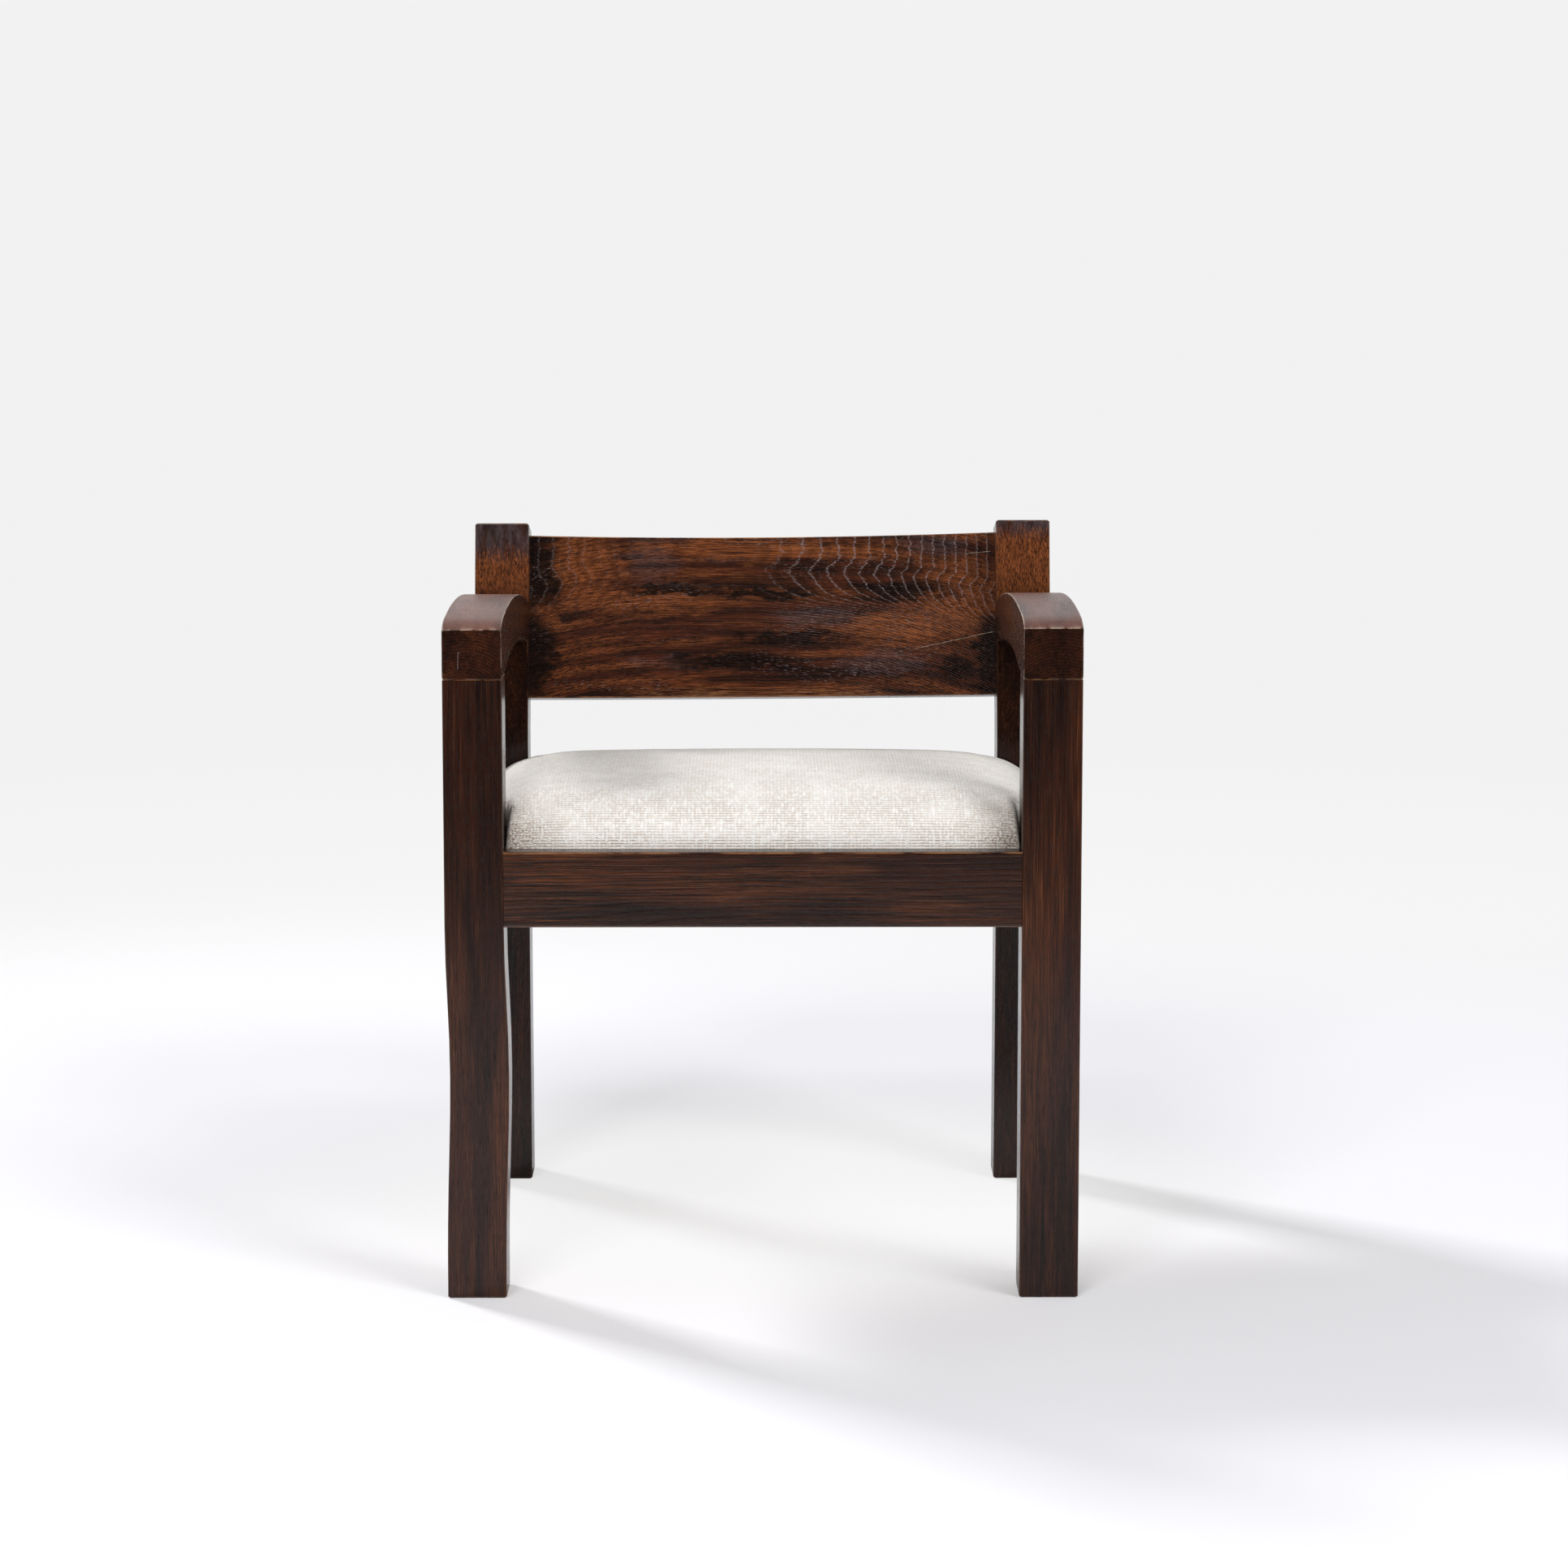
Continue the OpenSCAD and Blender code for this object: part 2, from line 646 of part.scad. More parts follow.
// Seat frame: side members run through, front and rear members are tenoned between them
frame_inner_x = seat_half_width - frame_inset - frame_side_width;
module frame_tenons(rear, clear, room) {
    edge = rear ? seat_rear - frame_inset - frame_width : seat_front + frame_inset;
    reach = frame_inner_x + frame_tenon_length + room;
    third = frame_thickness / 3;
    block([-reach, edge + frame_tenon_shoulder - clear, frame_bottom + third - clear],
          [reach, edge + frame_width - frame_tenon_shoulder + clear, frame_top - third + clear]);
}

module seat_frame_end(rear) color(beech) placed() {
    y = rear ? seat_rear - frame_inset - frame_width : seat_front + frame_inset;
    block([-frame_inner_x, y, frame_bottom], [frame_inner_x, y + frame_width, frame_top]);
    frame_tenons(rear, 0, 0);
}

module seat_frame_side(side) color(beech) placed() difference() {
    intersection() {
        translate([0, 0, frame_bottom]) linear_extrude(frame_thickness) seat_outline(frame_inset);
        at_side(side) block([frame_inner_x, 0, 0], [far, far, far]);
    }
    for (rear = [false, true]) frame_tenons(rear, joint_clearance, mortise_room);
}

module seat_frame_front() seat_frame_end(false);
module seat_frame_rear() seat_frame_end(true);
module seat_frame_left() seat_frame_side(-1);
module seat_frame_right() seat_frame_side(1);

// Interlaced webbing: each strap steps over one strap and under the next
webbing_x = [for (i = [0:webbing_long_count - 1])
    (i - (webbing_long_count - 1) / 2) * 2 * frame_inner_x / webbing_long_count];
webbing_y = [for (i = [0:webbing_cross_count - 1])
    seat_middle + (i - (webbing_cross_count - 1) / 2)
        * 2 * (seat_half_depth - frame_inset - frame_width) / webbing_cross_count];
// Length of a strap's level end, its overhang past the frame's inner edge, and the room beside a crossing
webbing_hold = 30;
webbing_overhang = 4;
webbing_step = 2;

// Side view of a strap: its ends lie on the frame, and it steps up or down at each crossing
function strap_side(ends, crossings, first, offset) = concat(
    [[ends[0], weave_level + offset], [ends[0] + webbing_hold, weave_level + offset]],
    [for (i = [0:len(crossings) - 1], e = [-1, 1])
        [crossings[i] + e * (webbing_width / 2 + webbing_step),
         weave_level + (i % 2 == 0 ? first : -first) * weave_amplitude + offset]],
    [[ends[1] - webbing_hold, weave_level + offset], [ends[1], weave_level + offset]]);

function reversed(list) = [for (i = [len(list) - 1:-1:0]) list[i]];

module strap(ends, crossings, first)
    rotate([90, 0, 0]) translate([0, 0, -webbing_width / 2]) linear_extrude(webbing_width)
        polygon(concat(strap_side(ends, crossings, first, -webbing_thickness / 2),
                       reversed(strap_side(ends, crossings, first, webbing_thickness / 2))));

webbing_end = frame_inset + frame_width + webbing_overhang - webbing_hold;
module seat_webbing_long() color(jute) placed()
    for (i = [0:webbing_long_count - 1])
        translate([webbing_x[i], 0, 0]) rotate([0, 0, 90])
            strap([seat_front + webbing_end, seat_rear - webbing_end], webbing_y, i % 2 == 0 ? 1 : -1);

module seat_webbing_cross() color(jute) placed() {
    end = frame_inner_x + webbing_hold - webbing_overhang;
    for (j = [0:webbing_cross_count - 1])
        translate([0, webbing_y[j], 0]) strap([-end, end], webbing_x, j % 2 == 0 ? -1 : 1);
}

module seat_hessian() color(jute) placed()
    translate([0, 0, hessian_bottom]) linear_extrude(hessian_thickness) seat_outline(hessian_inset);

// Crowned form of the seat: a rounded edge that dips to the rails and legs, and a broad flat crown
function edge_distance(x, y) = min(seat_half_width - abs(x), y - seat_front, seat_rear - y);
function notch_distance(x, y) =
    norm([max(0, notch_x - abs(x)), max(0, min(y - notch_front, notch_rear - y))]);
function edge_share(x, y, inset) =
    min((edge_distance(x, y) - inset) / edge_width, (notch_distance(x, y) - inset) / notch_edge_width);
function rounded(share) = sqrt(1 - pow(1 - min(1, max(0, share)), 2));
// The higher these powers, the broader the crown's flat top across and along the seat
crown_power_across = 8;
crown_power_along = 16;
function crown_share(x, y) =
    (1 - pow(abs(x) / seat_half_width, crown_power_across))
    * (1 - pow(abs(y - seat_middle) / seat_half_depth, crown_power_along));
function pad_level(x, y, inset, edge) =
    rail_top + edge * rounded(edge_share(x, y, inset)) + crown_height * crown_share(x, y);

// Shares of the pad's broad middle at which a grid line lies
middle_shares = [0.08, 0.22, 0.5, 0.78, 0.92];
// Grid lines across the pad: close together at the edges and round the leg notches
function grid_lines(low, low_notch, high_notch, high, near) =
    let (start = low_notch + near[len(near) - 1], end = high_notch - near[len(near) - 1])
        concat(
            [for (d = near) low + d],
            [for (d = near) low_notch + d],
            [for (share = middle_shares) start + share * (end - start)],
            [for (d = reversed(near)) high_notch - d],
            [for (d = reversed(near)) high - d]);

// Crowned solid inside an outline; the dip at its edge starts at dip_inset
module crowned_pad(inset, dip_inset, edge, bottom, near) {
    xs = grid_lines(-seat_half_width, -notch_x, notch_x, seat_half_width, near);
    ys = grid_lines(seat_front, notch_front, notch_rear, seat_rear, near);
    nx = len(xs);
    ny = len(ys);
    base = nx * ny;
    intersection() {
        polyhedron(
            points = concat(
                [for (y = ys, x = xs) [x, y, pad_level(x, y, dip_inset, edge)]],
                [for (y = [ys[0], ys[ny - 1]], x = [xs[0], xs[nx - 1]]) [x, y, bottom - cut]]),
            faces = concat(
                [for (j = [0:ny - 2], i = [0:nx - 2], k = [0, 1])
                    let (a = j * nx + i)
                        k == 0 ? [a, a + nx, a + nx + 1] : [a, a + nx + 1, a + 1]],
                [concat([base + 1, base], [for (i = [0:nx - 1]) i])],
                [concat([base + 2, base + 3], [for (i = [nx - 1:-1:0]) (ny - 1) * nx + i])],
                [concat([base, base + 2], [for (j = [ny - 1:-1:0]) j * nx])],
                [concat([base + 3, base + 1], [for (j = [0:ny - 1]) j * nx + nx - 1])],
                [[base, base + 1, base + 3, base + 2]]));
        translate([0, 0, bottom]) linear_extrude(far) seat_outline(inset);
    }
}

// Grid distances from the edge, partly as shares of its rounding: fine on the cover, coarser inside it
edge_shares = [0, 0.1, 0.3, 0.6, 1.1];
inner_share = 0.7;
cover_grid = [for (share = edge_shares) share * edge_width];
inner_grid = [cover_thickness, foam_inset, inner_share * edge_width];

module seat_foam() color(foam_yellow) placed()
    crowned_pad(foam_inset, frame_inset, edge_height - wadding - soft_gap, foam_bottom, inner_grid);

module seat_cover() color(ivory) placed() difference() {
    crowned_pad(0, 0, edge_height, hem_bottom, cover_grid);
    crowned_pad(cover_thickness, cover_thickness, edge_height - wadding, hem_top, inner_grid);
    translate([0, 0, hem_bottom - cut]) linear_extrude(cover_thickness + 2 * cut)
        seat_outline(hem_width);
}

front_leg_left();
front_leg_right();
rear_leg_left();
rear_leg_right();
front_rail();
rear_rail();
side_rail_left();
side_rail_right();
arm_left();
arm_right();
arm_dowels_left();
arm_dowels_right();
backrest_board();
corner_block(-1, false);  // corner_block_front_left
corner_block(1, false);  // corner_block_front_right
corner_block(-1, true);  // corner_block_rear_left
corner_block(1, true);  // corner_block_rear_right
corner_block_screws();
seat_cleat_front();
seat_cleat_rear();
seat_cleat("left");  // seat_cleat_left
seat_cleat("right");  // seat_cleat_right
seat_cleat_screws();
seat_frame_front();
seat_frame_rear();
seat_frame_left();
seat_frame_right();
seat_webbing_long();
seat_webbing_cross();
seat_hessian();
seat_foam();
seat_cover();
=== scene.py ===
"""Dark oak armchair with a woven drop-in seat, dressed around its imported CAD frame.

Everything is in metres, in the frame's own axes: the chair faces -Y and stands on Z = 0.
"""
import math

import bpy
import numpy as np
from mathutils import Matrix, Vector
from mathutils.bvhtree import BVHTree


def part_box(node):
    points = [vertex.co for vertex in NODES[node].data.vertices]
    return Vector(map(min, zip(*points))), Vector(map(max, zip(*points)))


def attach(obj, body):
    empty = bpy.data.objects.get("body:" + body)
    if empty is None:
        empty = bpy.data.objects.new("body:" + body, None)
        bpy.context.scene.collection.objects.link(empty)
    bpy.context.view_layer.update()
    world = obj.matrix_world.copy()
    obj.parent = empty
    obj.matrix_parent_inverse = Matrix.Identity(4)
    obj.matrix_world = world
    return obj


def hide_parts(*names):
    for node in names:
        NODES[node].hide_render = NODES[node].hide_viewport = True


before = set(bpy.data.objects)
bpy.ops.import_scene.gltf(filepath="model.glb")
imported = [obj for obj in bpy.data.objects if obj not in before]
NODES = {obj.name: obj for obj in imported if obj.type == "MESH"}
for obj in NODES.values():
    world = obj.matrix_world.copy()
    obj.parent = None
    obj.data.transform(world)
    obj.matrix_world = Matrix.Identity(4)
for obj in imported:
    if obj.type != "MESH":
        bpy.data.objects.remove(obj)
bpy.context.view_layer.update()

# Levels of the rails' top and of the seat's crown
RAIL_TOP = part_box("front_rail")[1].z
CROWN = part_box("seat_cover")[1].z

# Camera, as fitted to the photograph: its place, its pitch and yaw in degrees, its lens and sensor in mm
CAMERA_PLACE = (-0.0009, -4.6477, 1.1250)
CAMERA_PITCH = 8.12
CAMERA_YAW = 0.275
CAMERA_LENS = 107.45
SENSOR_WIDTH = 36


def srgb(red, green, blue):
    """A colour written as 0 to 255, as the linear values that Blender takes"""
    def linear(c):
        c /= 255
        return c / 12.92 if c <= 0.04045 else ((c + 0.055) / 1.055) ** 2.4
    return (linear(red), linear(green), linear(blue), 1)


def worked_out(operation, swapped=False):
    """A method of Value that does one kind of sum with a node"""
    def method(self, *others):
        values = (*others, self) if swapped else (self, *others)
        return self.tree.math(operation, *values)
    return method


class Value:
    """A number that a node tree works out at each point. It takes part in sums as a Python number does."""

    def __init__(self, tree, socket):
        self.tree = tree
        self.socket = socket

    def __neg__(self):
        return self * -1

    __add__ = __radd__ = worked_out("ADD")
    __sub__ = worked_out("SUBTRACT")
    __rsub__ = worked_out("SUBTRACT", swapped=True)
    __mul__ = __rmul__ = worked_out("MULTIPLY")
    __truediv__ = worked_out("DIVIDE")
    __pow__ = worked_out("POWER")
    __abs__ = worked_out("ABSOLUTE")


class Tree:
    """A node tree, with one short call for each kind of node used here"""

    def __init__(self, node_tree):
        self.nodes = node_tree.nodes
        self.links = node_tree.links

    def put(self, socket, value):
        """Links a socket, or sets its value"""
        if isinstance(value, Value):
            value = value.socket
        if isinstance(value, bpy.types.NodeSocket):
            self.links.new(value, socket)
        else:
            socket.default_value = value

    def add(self, kind, inputs=(), **settings):
        node = self.nodes.new(kind)
        for key, value in settings.items():
            setattr(node, key, value)
        for key, value in dict(inputs).items():
            self.put(node.inputs[key], value)
        return node

    def math(self, operation, *values):
        node = self.add("ShaderNodeMath", enumerate(values), operation=operation)
        return Value(self, node.outputs[0])

    def most(self, *values):
        """The largest of some values"""
        found = values[0]
        for value in values[1:]:
            found = self.math("MAXIMUM", found, value)
        return found

    def between(self, value, low, high, to_low=0.0, to_high=1.0):
        """Maps a value smoothly from low..high to to_low..to_high"""
        node = self.add("ShaderNodeMapRange", enumerate((value, low, high, to_low, to_high)),
                        interpolation_type="SMOOTHSTEP")
        return Value(self, node.outputs[0])

    def vector(self, operation, *values):
        node = self.add("ShaderNodeVectorMath", enumerate(values), operation=operation)
        return node.outputs["Vector"]

    def distance(self, first, second):
        node = self.add("ShaderNodeVectorMath", {0: first, 1: second}, operation="DISTANCE")
        return Value(self, node.outputs["Value"])

    def turned(self, vector, rotation):
        node = self.add("ShaderNodeVectorRotate", {"Vector": vector, "Rotation": rotation},
                        rotation_type="EULER_XYZ")
        return node.outputs[0]

    def split(self, vector):
        node = self.add("ShaderNodeSeparateXYZ", {"Vector": vector})
        return [Value(self, output) for output in node.outputs]

    def join(self, x, y, z):
        return self.add("ShaderNodeCombineXYZ", {"X": x, "Y": y, "Z": z}).outputs[0]

    def noise(self, point, scale, detail=2.0, roughness=0.5, offset=0.0):
        """Noise from 0 to 1, with its own scale along each axis"""
        stretched = self.vector("MULTIPLY_ADD", point, scale, (offset, offset, offset))
        node = self.add("ShaderNodeTexNoise", {"Vector": stretched, "Scale": 1.0, "Detail": detail,
                                               "Roughness": roughness})
        return Value(self, node.outputs["Fac"])

    def stray(self, point, scale, reach):
        """A point moved to and fro by noise, by up to about half the reach"""
        node = self.add("ShaderNodeTexNoise", {"Vector": point, "Scale": scale, "Detail": 2.0})
        wander = self.vector("SUBTRACT", node.outputs["Color"], (0.5, 0.5, 0.5))
        return self.vector("MULTIPLY_ADD", wander, reach, point)

    def rays(self, *kinds):
        """1 for the named kinds of ray, such as Is Camera Ray, and 0 for the others"""
        path = self.add("ShaderNodeLightPath")
        return self.most(*[Value(self, path.outputs[kind]) for kind in kinds])


class Material(Tree):
    """A material's node tree"""

    def __init__(self, name):
        self.material = bpy.data.materials.new(name)
        self.material.use_nodes = True
        super().__init__(self.material.node_tree)

    def place(self):
        return self.add("ShaderNodeTexCoord").outputs["Object"]

    def normal(self):
        return self.add("ShaderNodeNewGeometry").outputs["Normal"]

    def mix(self, factor, first, second, blend="MIX"):
        node = self.add("ShaderNodeMix", {0: factor, 6: first, 7: second}, data_type="RGBA", blend_type=blend)
        return node.outputs[2]

    def darker(self, colour, share):
        """A colour times a share of it"""
        return self.mix(1.0, colour, self.join(share, share, share), "MULTIPLY")

    def bump(self, height, distance):
        node = self.add("ShaderNodeBump", {"Height": height, "Distance": distance, "Strength": 1.0})
        return node.outputs[0]

    def finish(self, **inputs):
        shader = self.nodes["Principled BSDF"]
        for key, value in inputs.items():
            self.put(shader.inputs[key.replace("_", " ")], value)
        return self.material


# Oak colours
OAK_BLACK = srgb(22, 13, 9)
OAK_DARK = srgb(46, 25, 17)
OAK_BROWN = srgb(72, 38, 25)
OAK_RED = srgb(96, 48, 28)
OAK_ORANGE = srgb(150, 84, 44)
OAK_TAN = srgb(150, 104, 68)
# Grey haze at the posts' tops, and painted sheen on the board
OAK_HAZE_AND_SHEEN = srgb(84, 70, 72)
# Upper faces: rubbed wear and painted sheen
OAK_TOP_SHEEN_AND_WEAR = srgb(128, 76, 60)
OAK_WORN = srgb(176, 118, 74)
# Pale edge colour: wear, and on the arms' upper edges a painted highlight; also the board's cracks
EDGE_PALE = srgb(206, 184, 166)
PORE_GREY = srgb(140, 126, 126)

# Waves a metre along the grain and across it, of the noises that make up the wood
FINE_STREAKS = (16, 900, 900)
BROAD_STREAKS = (6, 150, 150)
PORE_DASHES = (75, 2400, 2400)
# How deep the grain's relief is
GRAIN_RELIEF = 0.00014
# Width of a year's ring, and how far the rings drift aside and shiver
RING_WIDTH = 0.0030
RING_DRIFT = 0.022
RING_SHIVER = 0.003

# Turns of a piece that bring its grain to lie along X
TURNS = {"X": (0, 0, 0), "Y": (0, 0, -math.pi / 2), "Z": (0, math.pi / 2, 0)}


def grain_space(t, node, along, lean=0.0):
    """Coordinates from the middle of a piece, with the grain along X"""
    low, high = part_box(node)
    centred = t.vector("SUBTRACT", t.place(), (low + high) / 2)
    return t.turned(t.turned(centred, (lean, 0, 0)), TURNS[along])


def arris(t, lean=0.0):
    """1 on rounded edges and 0 on flat faces"""
    x, y, z = t.split(t.turned(t.normal(), (lean, 0, 0)))
    return t.between(t.most(abs(x), abs(y), abs(z)), 0.97, 0.80)


def lines(t, u, v, ends, width):
    """1 on straight marks, each given by its two ends, and 0 beside them"""
    masks = []
    for start, end in ends:
        length = math.dist(start, end)
        along_u, along_v = (end[0] - start[0]) / length, (end[1] - start[1]) / length
        du, dv = u - start[0], v - start[1]
        along = du * along_u + dv * along_v
        near = t.between(abs(dv * along_u - du * along_v), width, width * 0.3)
        masks.append(near * t.between(along, 0, width * 2) * t.between(along, length, length - width * 2))
    return t.most(*masks)


def patches(t, u, v, places):
    """1 in soft oval patches, each given by its middle and its half size, and 0 outside them"""
    masks = []
    for (middle_u, middle_v), (half_u, half_v) in places:
        du, dv = (u - middle_u) / half_u, (v - middle_v) / half_v
        masks.append(t.between(du * du + dv * dv, 1.0, 0.1))
    return t.most(*masks)


def fibres(t, p, seed):
    """Fine streaks, broad streaks and open pores along the grain, each from 0 to 1"""
    streaks = t.noise(p, FINE_STREAKS, 4, 0.7, seed)
    broad = t.noise(p, BROAD_STREAKS, 3, 0.6, seed + 5)
    pores = t.between(t.noise(p, PORE_DASHES, 1, 0.5, seed + 7), 0.57, 0.67)
    return streaks, broad, pores


def stained(t, streaks, broad, blotch, glow, light, warm):
    """Colour of stained oak before its marks and worn edges"""
    colour = t.mix(t.between(blotch, 0.38, 0.62), OAK_DARK, OAK_BROWN)
    colour = t.mix(t.between(blotch, 0.42, 0.24), colour, OAK_BLACK)
    colour = t.mix(t.between(broad, 0.42, 0.66) * light, colour, OAK_RED)
    warmth = t.between(glow, 0.46, 0.66) * t.between(streaks, 0.36, 0.60)
    return t.mix(warmth * warm, colour, OAK_ORANGE)


def varnish(t, colour, height, rough, polish):
    return t.finish(Base_Color=colour, Roughness=rough, Specular_IOR_Level=polish,
                    Normal=t.bump(height, GRAIN_RELIEF))


def oak(node, along, pith=(0.05, 0.08), light=0.5, warm=0.4, depth=1.0, edge=OAK_WORN, worn=0.6, polish=0.3,
        top_sheen_and_wear=0.0, top_rough=-0.07, hazy_top=None, shade_below_orange_above=None, warm_end=None, cracks=(), seed=0.0):
    """Stained oak. pith is where the heart of the tree lay beside the piece. light and warm are how brown
    and how orange it is, a lower depth darkens it, and worn is how much its edges show the edge colour.
    top_sheen_and_wear is how much its upper faces are turned lighter and redder, partly rubbed wear and
    partly painted sheen, and top_rough how much rougher they are. shade_below_orange_above says where
    along the piece its painted shade gives way to orange, and hazy_top and warm_end where it turns hazy
    and warmer. cracks are in its
    front face, each given by its two ends."""
    t = Material("oak_" + node)
    p = grain_space(t, node, along)
    u, v, w = t.split(p)
    drift = (t.noise(p, (2.5, 9, 9), 2, 0.5, seed) - 0.5) * RING_DRIFT
    shiver = (t.noise(p, (10, 45, 45), 2, 0.5, seed + 3) - 0.5) * RING_SHIVER
    side, inward = v - pith[0] + drift, w + pith[1] + shiver
    ring = t.math("FRACT", t.math("SQRT", side * side + inward * inward) / RING_WIDTH)
    early = t.between(ring, 0.0, 0.12) * t.between(ring, 0.55, 0.2)

    streaks, broad, pores = fibres(t, p, seed)
    blotch = t.noise(p, (4.5, 24, 24), 4, 0.6, seed + 11)
    glow = t.noise(p, (3.2, 26, 26), 3, 0.55, seed + 17)
    colour = stained(t, streaks, broad, blotch, glow, light, warm)
    if warm_end:
        warmer = t.between(u, *warm_end) * t.between(streaks, 0.42, 0.62, 0.0, 0.45)
        colour = t.mix(warmer * t.between(broad, 0.36, 0.56), colour, OAK_ORANGE)
    if hazy_top:
        colour = t.mix(t.between(u, *hazy_top) * t.between(broad, 0.36, 0.6, 0.2, 0.9), colour, OAK_HAZE_AND_SHEEN)
    middling = t.noise(p, (8, 330, 330), 4, 0.65, seed + 31)
    shade = (streaks * 1.6 - 0.85 + middling * 1.9) * depth
    # Painted shade: below these heights the rear legs are darkened, as in the shade under the arms, and above
    # them they turn orange
    if shade_below_orange_above:
        ragged = u - (streaks - 0.5) * 0.05
        upper = t.between(ragged, *shade_below_orange_above)
        orange = upper * t.between(streaks, 0.36, 0.60, 0.12, 0.85)
        if hazy_top:
            orange = orange * (1 - t.between(ragged, *hazy_top))
        colour = t.mix(orange, colour, OAK_ORANGE)
        shade = shade * (upper * 0.74 + 0.26)
    normal = t.split(t.normal())
    end_grain = t.between(abs(normal["XYZ".index(along)]), 0.75, 0.92)
    shade = shade * (1 - early * (end_grain * 0.30 + 0.14)) * (1 - pores * 0.5)
    colour = t.darker(colour, shade)
    flecks = t.between(streaks, 0.58, 0.70) * t.between(broad, 0.40, 0.60, 0.0, 0.2)
    colour = t.mix(flecks, colour, OAK_TAN)

    upward = t.between(normal[2], 0.6, 0.9)
    # Upper faces painted lighter and redder: partly rubbed wear, partly painted sheen
    if top_sheen_and_wear:
        upper_sheen_and_wear = upward * t.between(blotch, 0.34, 0.58, 0.35, 1.0)
        colour = t.mix(upper_sheen_and_wear * top_sheen_and_wear, colour, OAK_TOP_SHEEN_AND_WEAR)
    rubbed = arris(t) * t.between(t.noise(p, (26, 90, 90), 3, 0.6, seed + 23), 0.36, 0.6)
    # Upper edges take more of the edge colour: wear, with a painted highlight where they face up
    rubbed = rubbed * t.between(normal[2], 0.05, 0.4, 0.3, 1.0)
    colour = t.mix(rubbed * worn, colour, edge)
    if cracks:
        marks = lines(t, v, w, cracks, CRACK_WIDTH) * t.between(normal[1], -0.6, -0.8, 0.0, 0.4)
        colour = t.mix(marks, colour, PORE_GREY)

    height = streaks * 0.35 - pores - early * 0.3
    rough = 0.24 - blotch * 0.10 + pores * 0.2 + upward * top_rough
    return varnish(t, colour, height, rough, polish)


# Width of a crack in end grain, and the left arm's crack with its arc, across and up its front
CRACK_WIDTH = 0.0005
LEFT_ARM_CRACKS = (((0.013, -0.008), (0.0125, 0.008)), ((0.0138, 0.008), (0.0105, 0.0085)))

# Settings of oak() for each piece
LEG = {"along": "Z", "depth": 0.46, "worn": 0.3}
POST = {"along": "Z", "depth": 0.8, "worn": 0.25}
# The arms' pale edges: wear, and on their upper edges a painted highlight
ARM = {"along": "Y", "edge": EDGE_PALE, "polish": 0.13, "top_rough": 0.12}
WOODS = {
    "front_leg_left": dict(LEG, pith=(0.07, 0.03), light=0.38, warm=0.38, seed=1.3),
    "front_leg_right": dict(LEG, pith=(-0.06, 0.05), light=0.35, warm=0.35, seed=5.1),
    # The rear legs carry painted shade below the arms, and orange above
    "rear_leg_left": dict(POST, pith=(0.05, 0.06), shade_below_orange_above=(0.215, 0.300), hazy_top=(0.298, 0.326), seed=9.7),
    "rear_leg_right": dict(POST, pith=(-0.05, 0.07), shade_below_orange_above=(0.205, 0.295), hazy_top=(0.322, 0.345),
                           seed=14.2),
    "front_rail": dict(along="X", pith=(0.09, 0.05), light=0.45, warm=0.45, depth=0.48, polish=0.42,
                       warm_end=(-0.12, -0.21), seed=20.9),
    "rear_rail": dict(along="X", pith=(0.08, -0.04), depth=0.8, seed=25.4),
    "side_rail_left": dict(along="Y", pith=(0.06, 0.06), depth=0.8, seed=30.1),
    "side_rail_right": dict(along="Y", pith=(-0.06, 0.06), depth=0.8, seed=35.8),
    # The arms' upper faces carry rubbed wear and painted sheen
    "arm_left": dict(ARM, pith=(0.01, 0.05), light=0.35, warm=0.3, depth=0.55, top_sheen_and_wear=0.6,
                     cracks=LEFT_ARM_CRACKS, seed=40.6),
    "arm_right": dict(ARM, pith=(-0.01, 0.05), light=0.3, warm=0.2, depth=0.45, top_sheen_and_wear=0.5, seed=46.3),
}

# Backrest board, from its middle. Its lean in degrees, as in the CAD.
BOARD_LEAN = 13.4
BOARD_SEED = 51.0
# Level of the chevrons' tips, and how far apart the rings lie that make them
CHEVRON_LEVEL = 0.047
BOARD_RING = 0.020
# Where the fibres start to fall off towards the left and the right end, and how fast
ARCH_ENDS = (-0.09, 0.07)
ARCH_FALL = 0.9
# Depth of the rings' arcs below the tips, how far they bend and slope there, and their slope beyond
ARC_DEPTH = 0.04
ARC_BEND = 0.09
ARC_SLOPE = 0.6
TAIL_SLOPE = 6.5
# Where the rings start to crowd together, towards the right and the left end
CROWD_RIGHT = -0.01
CROWD_LEFT = -0.14
# Width and ends of its two cracks, and its patches of orange, of black (those at its ends painted shade
# beside the posts) and of painted grey sheen: middles and half sizes
BOARD_CRACK_WIDTH = 0.00045
BOARD_CRACKS = (((0.212, 0.064), (0.240, 0.0655)), ((0.159, -0.036), (0.242, -0.0195)))
BOARD_ORANGE = (
    ((0.205, 0.020), (0.060, 0.055)), ((0.150, -0.008), (0.075, 0.022)),
    ((-0.226, -0.007), (0.014, 0.012)), ((-0.190, 0.060), (0.050, 0.035)),
    ((-0.120, 0.018), (0.130, 0.022)), ((0.000, 0.070), (0.200, 0.014)),
)
# The first three black patches, at the board's ends, are painted shade beside the posts; the others are dark
# figure
BOARD_BLACK_AND_END_SHADE = (
    ((-0.238, -0.045), (0.024, 0.065)), ((-0.236, 0.045), (0.030, 0.060)),
    ((0.240, -0.045), (0.022, 0.055)), ((0.205, -0.055), (0.022, 0.016)),
    ((0.150, 0.026), (0.070, 0.014)), ((-0.100, 0.030), (0.070, 0.006)),
    ((0.000, 0.024), (0.090, 0.007)), ((0.030, -0.022), (0.080, 0.008)),
    ((-0.030, -0.048), (0.100, 0.010)),
)
# Painted grey sheen on the board
BOARD_SHEEN = (
    ((-0.115, 0.052), (0.035, 0.026)), ((0.125, -0.050), (0.060, 0.014)),
    ((0.185, 0.074), (0.045, 0.014)), ((-0.105, -0.048), (0.050, 0.010)),
    ((0.060, 0.000), (0.060, 0.012)),
)


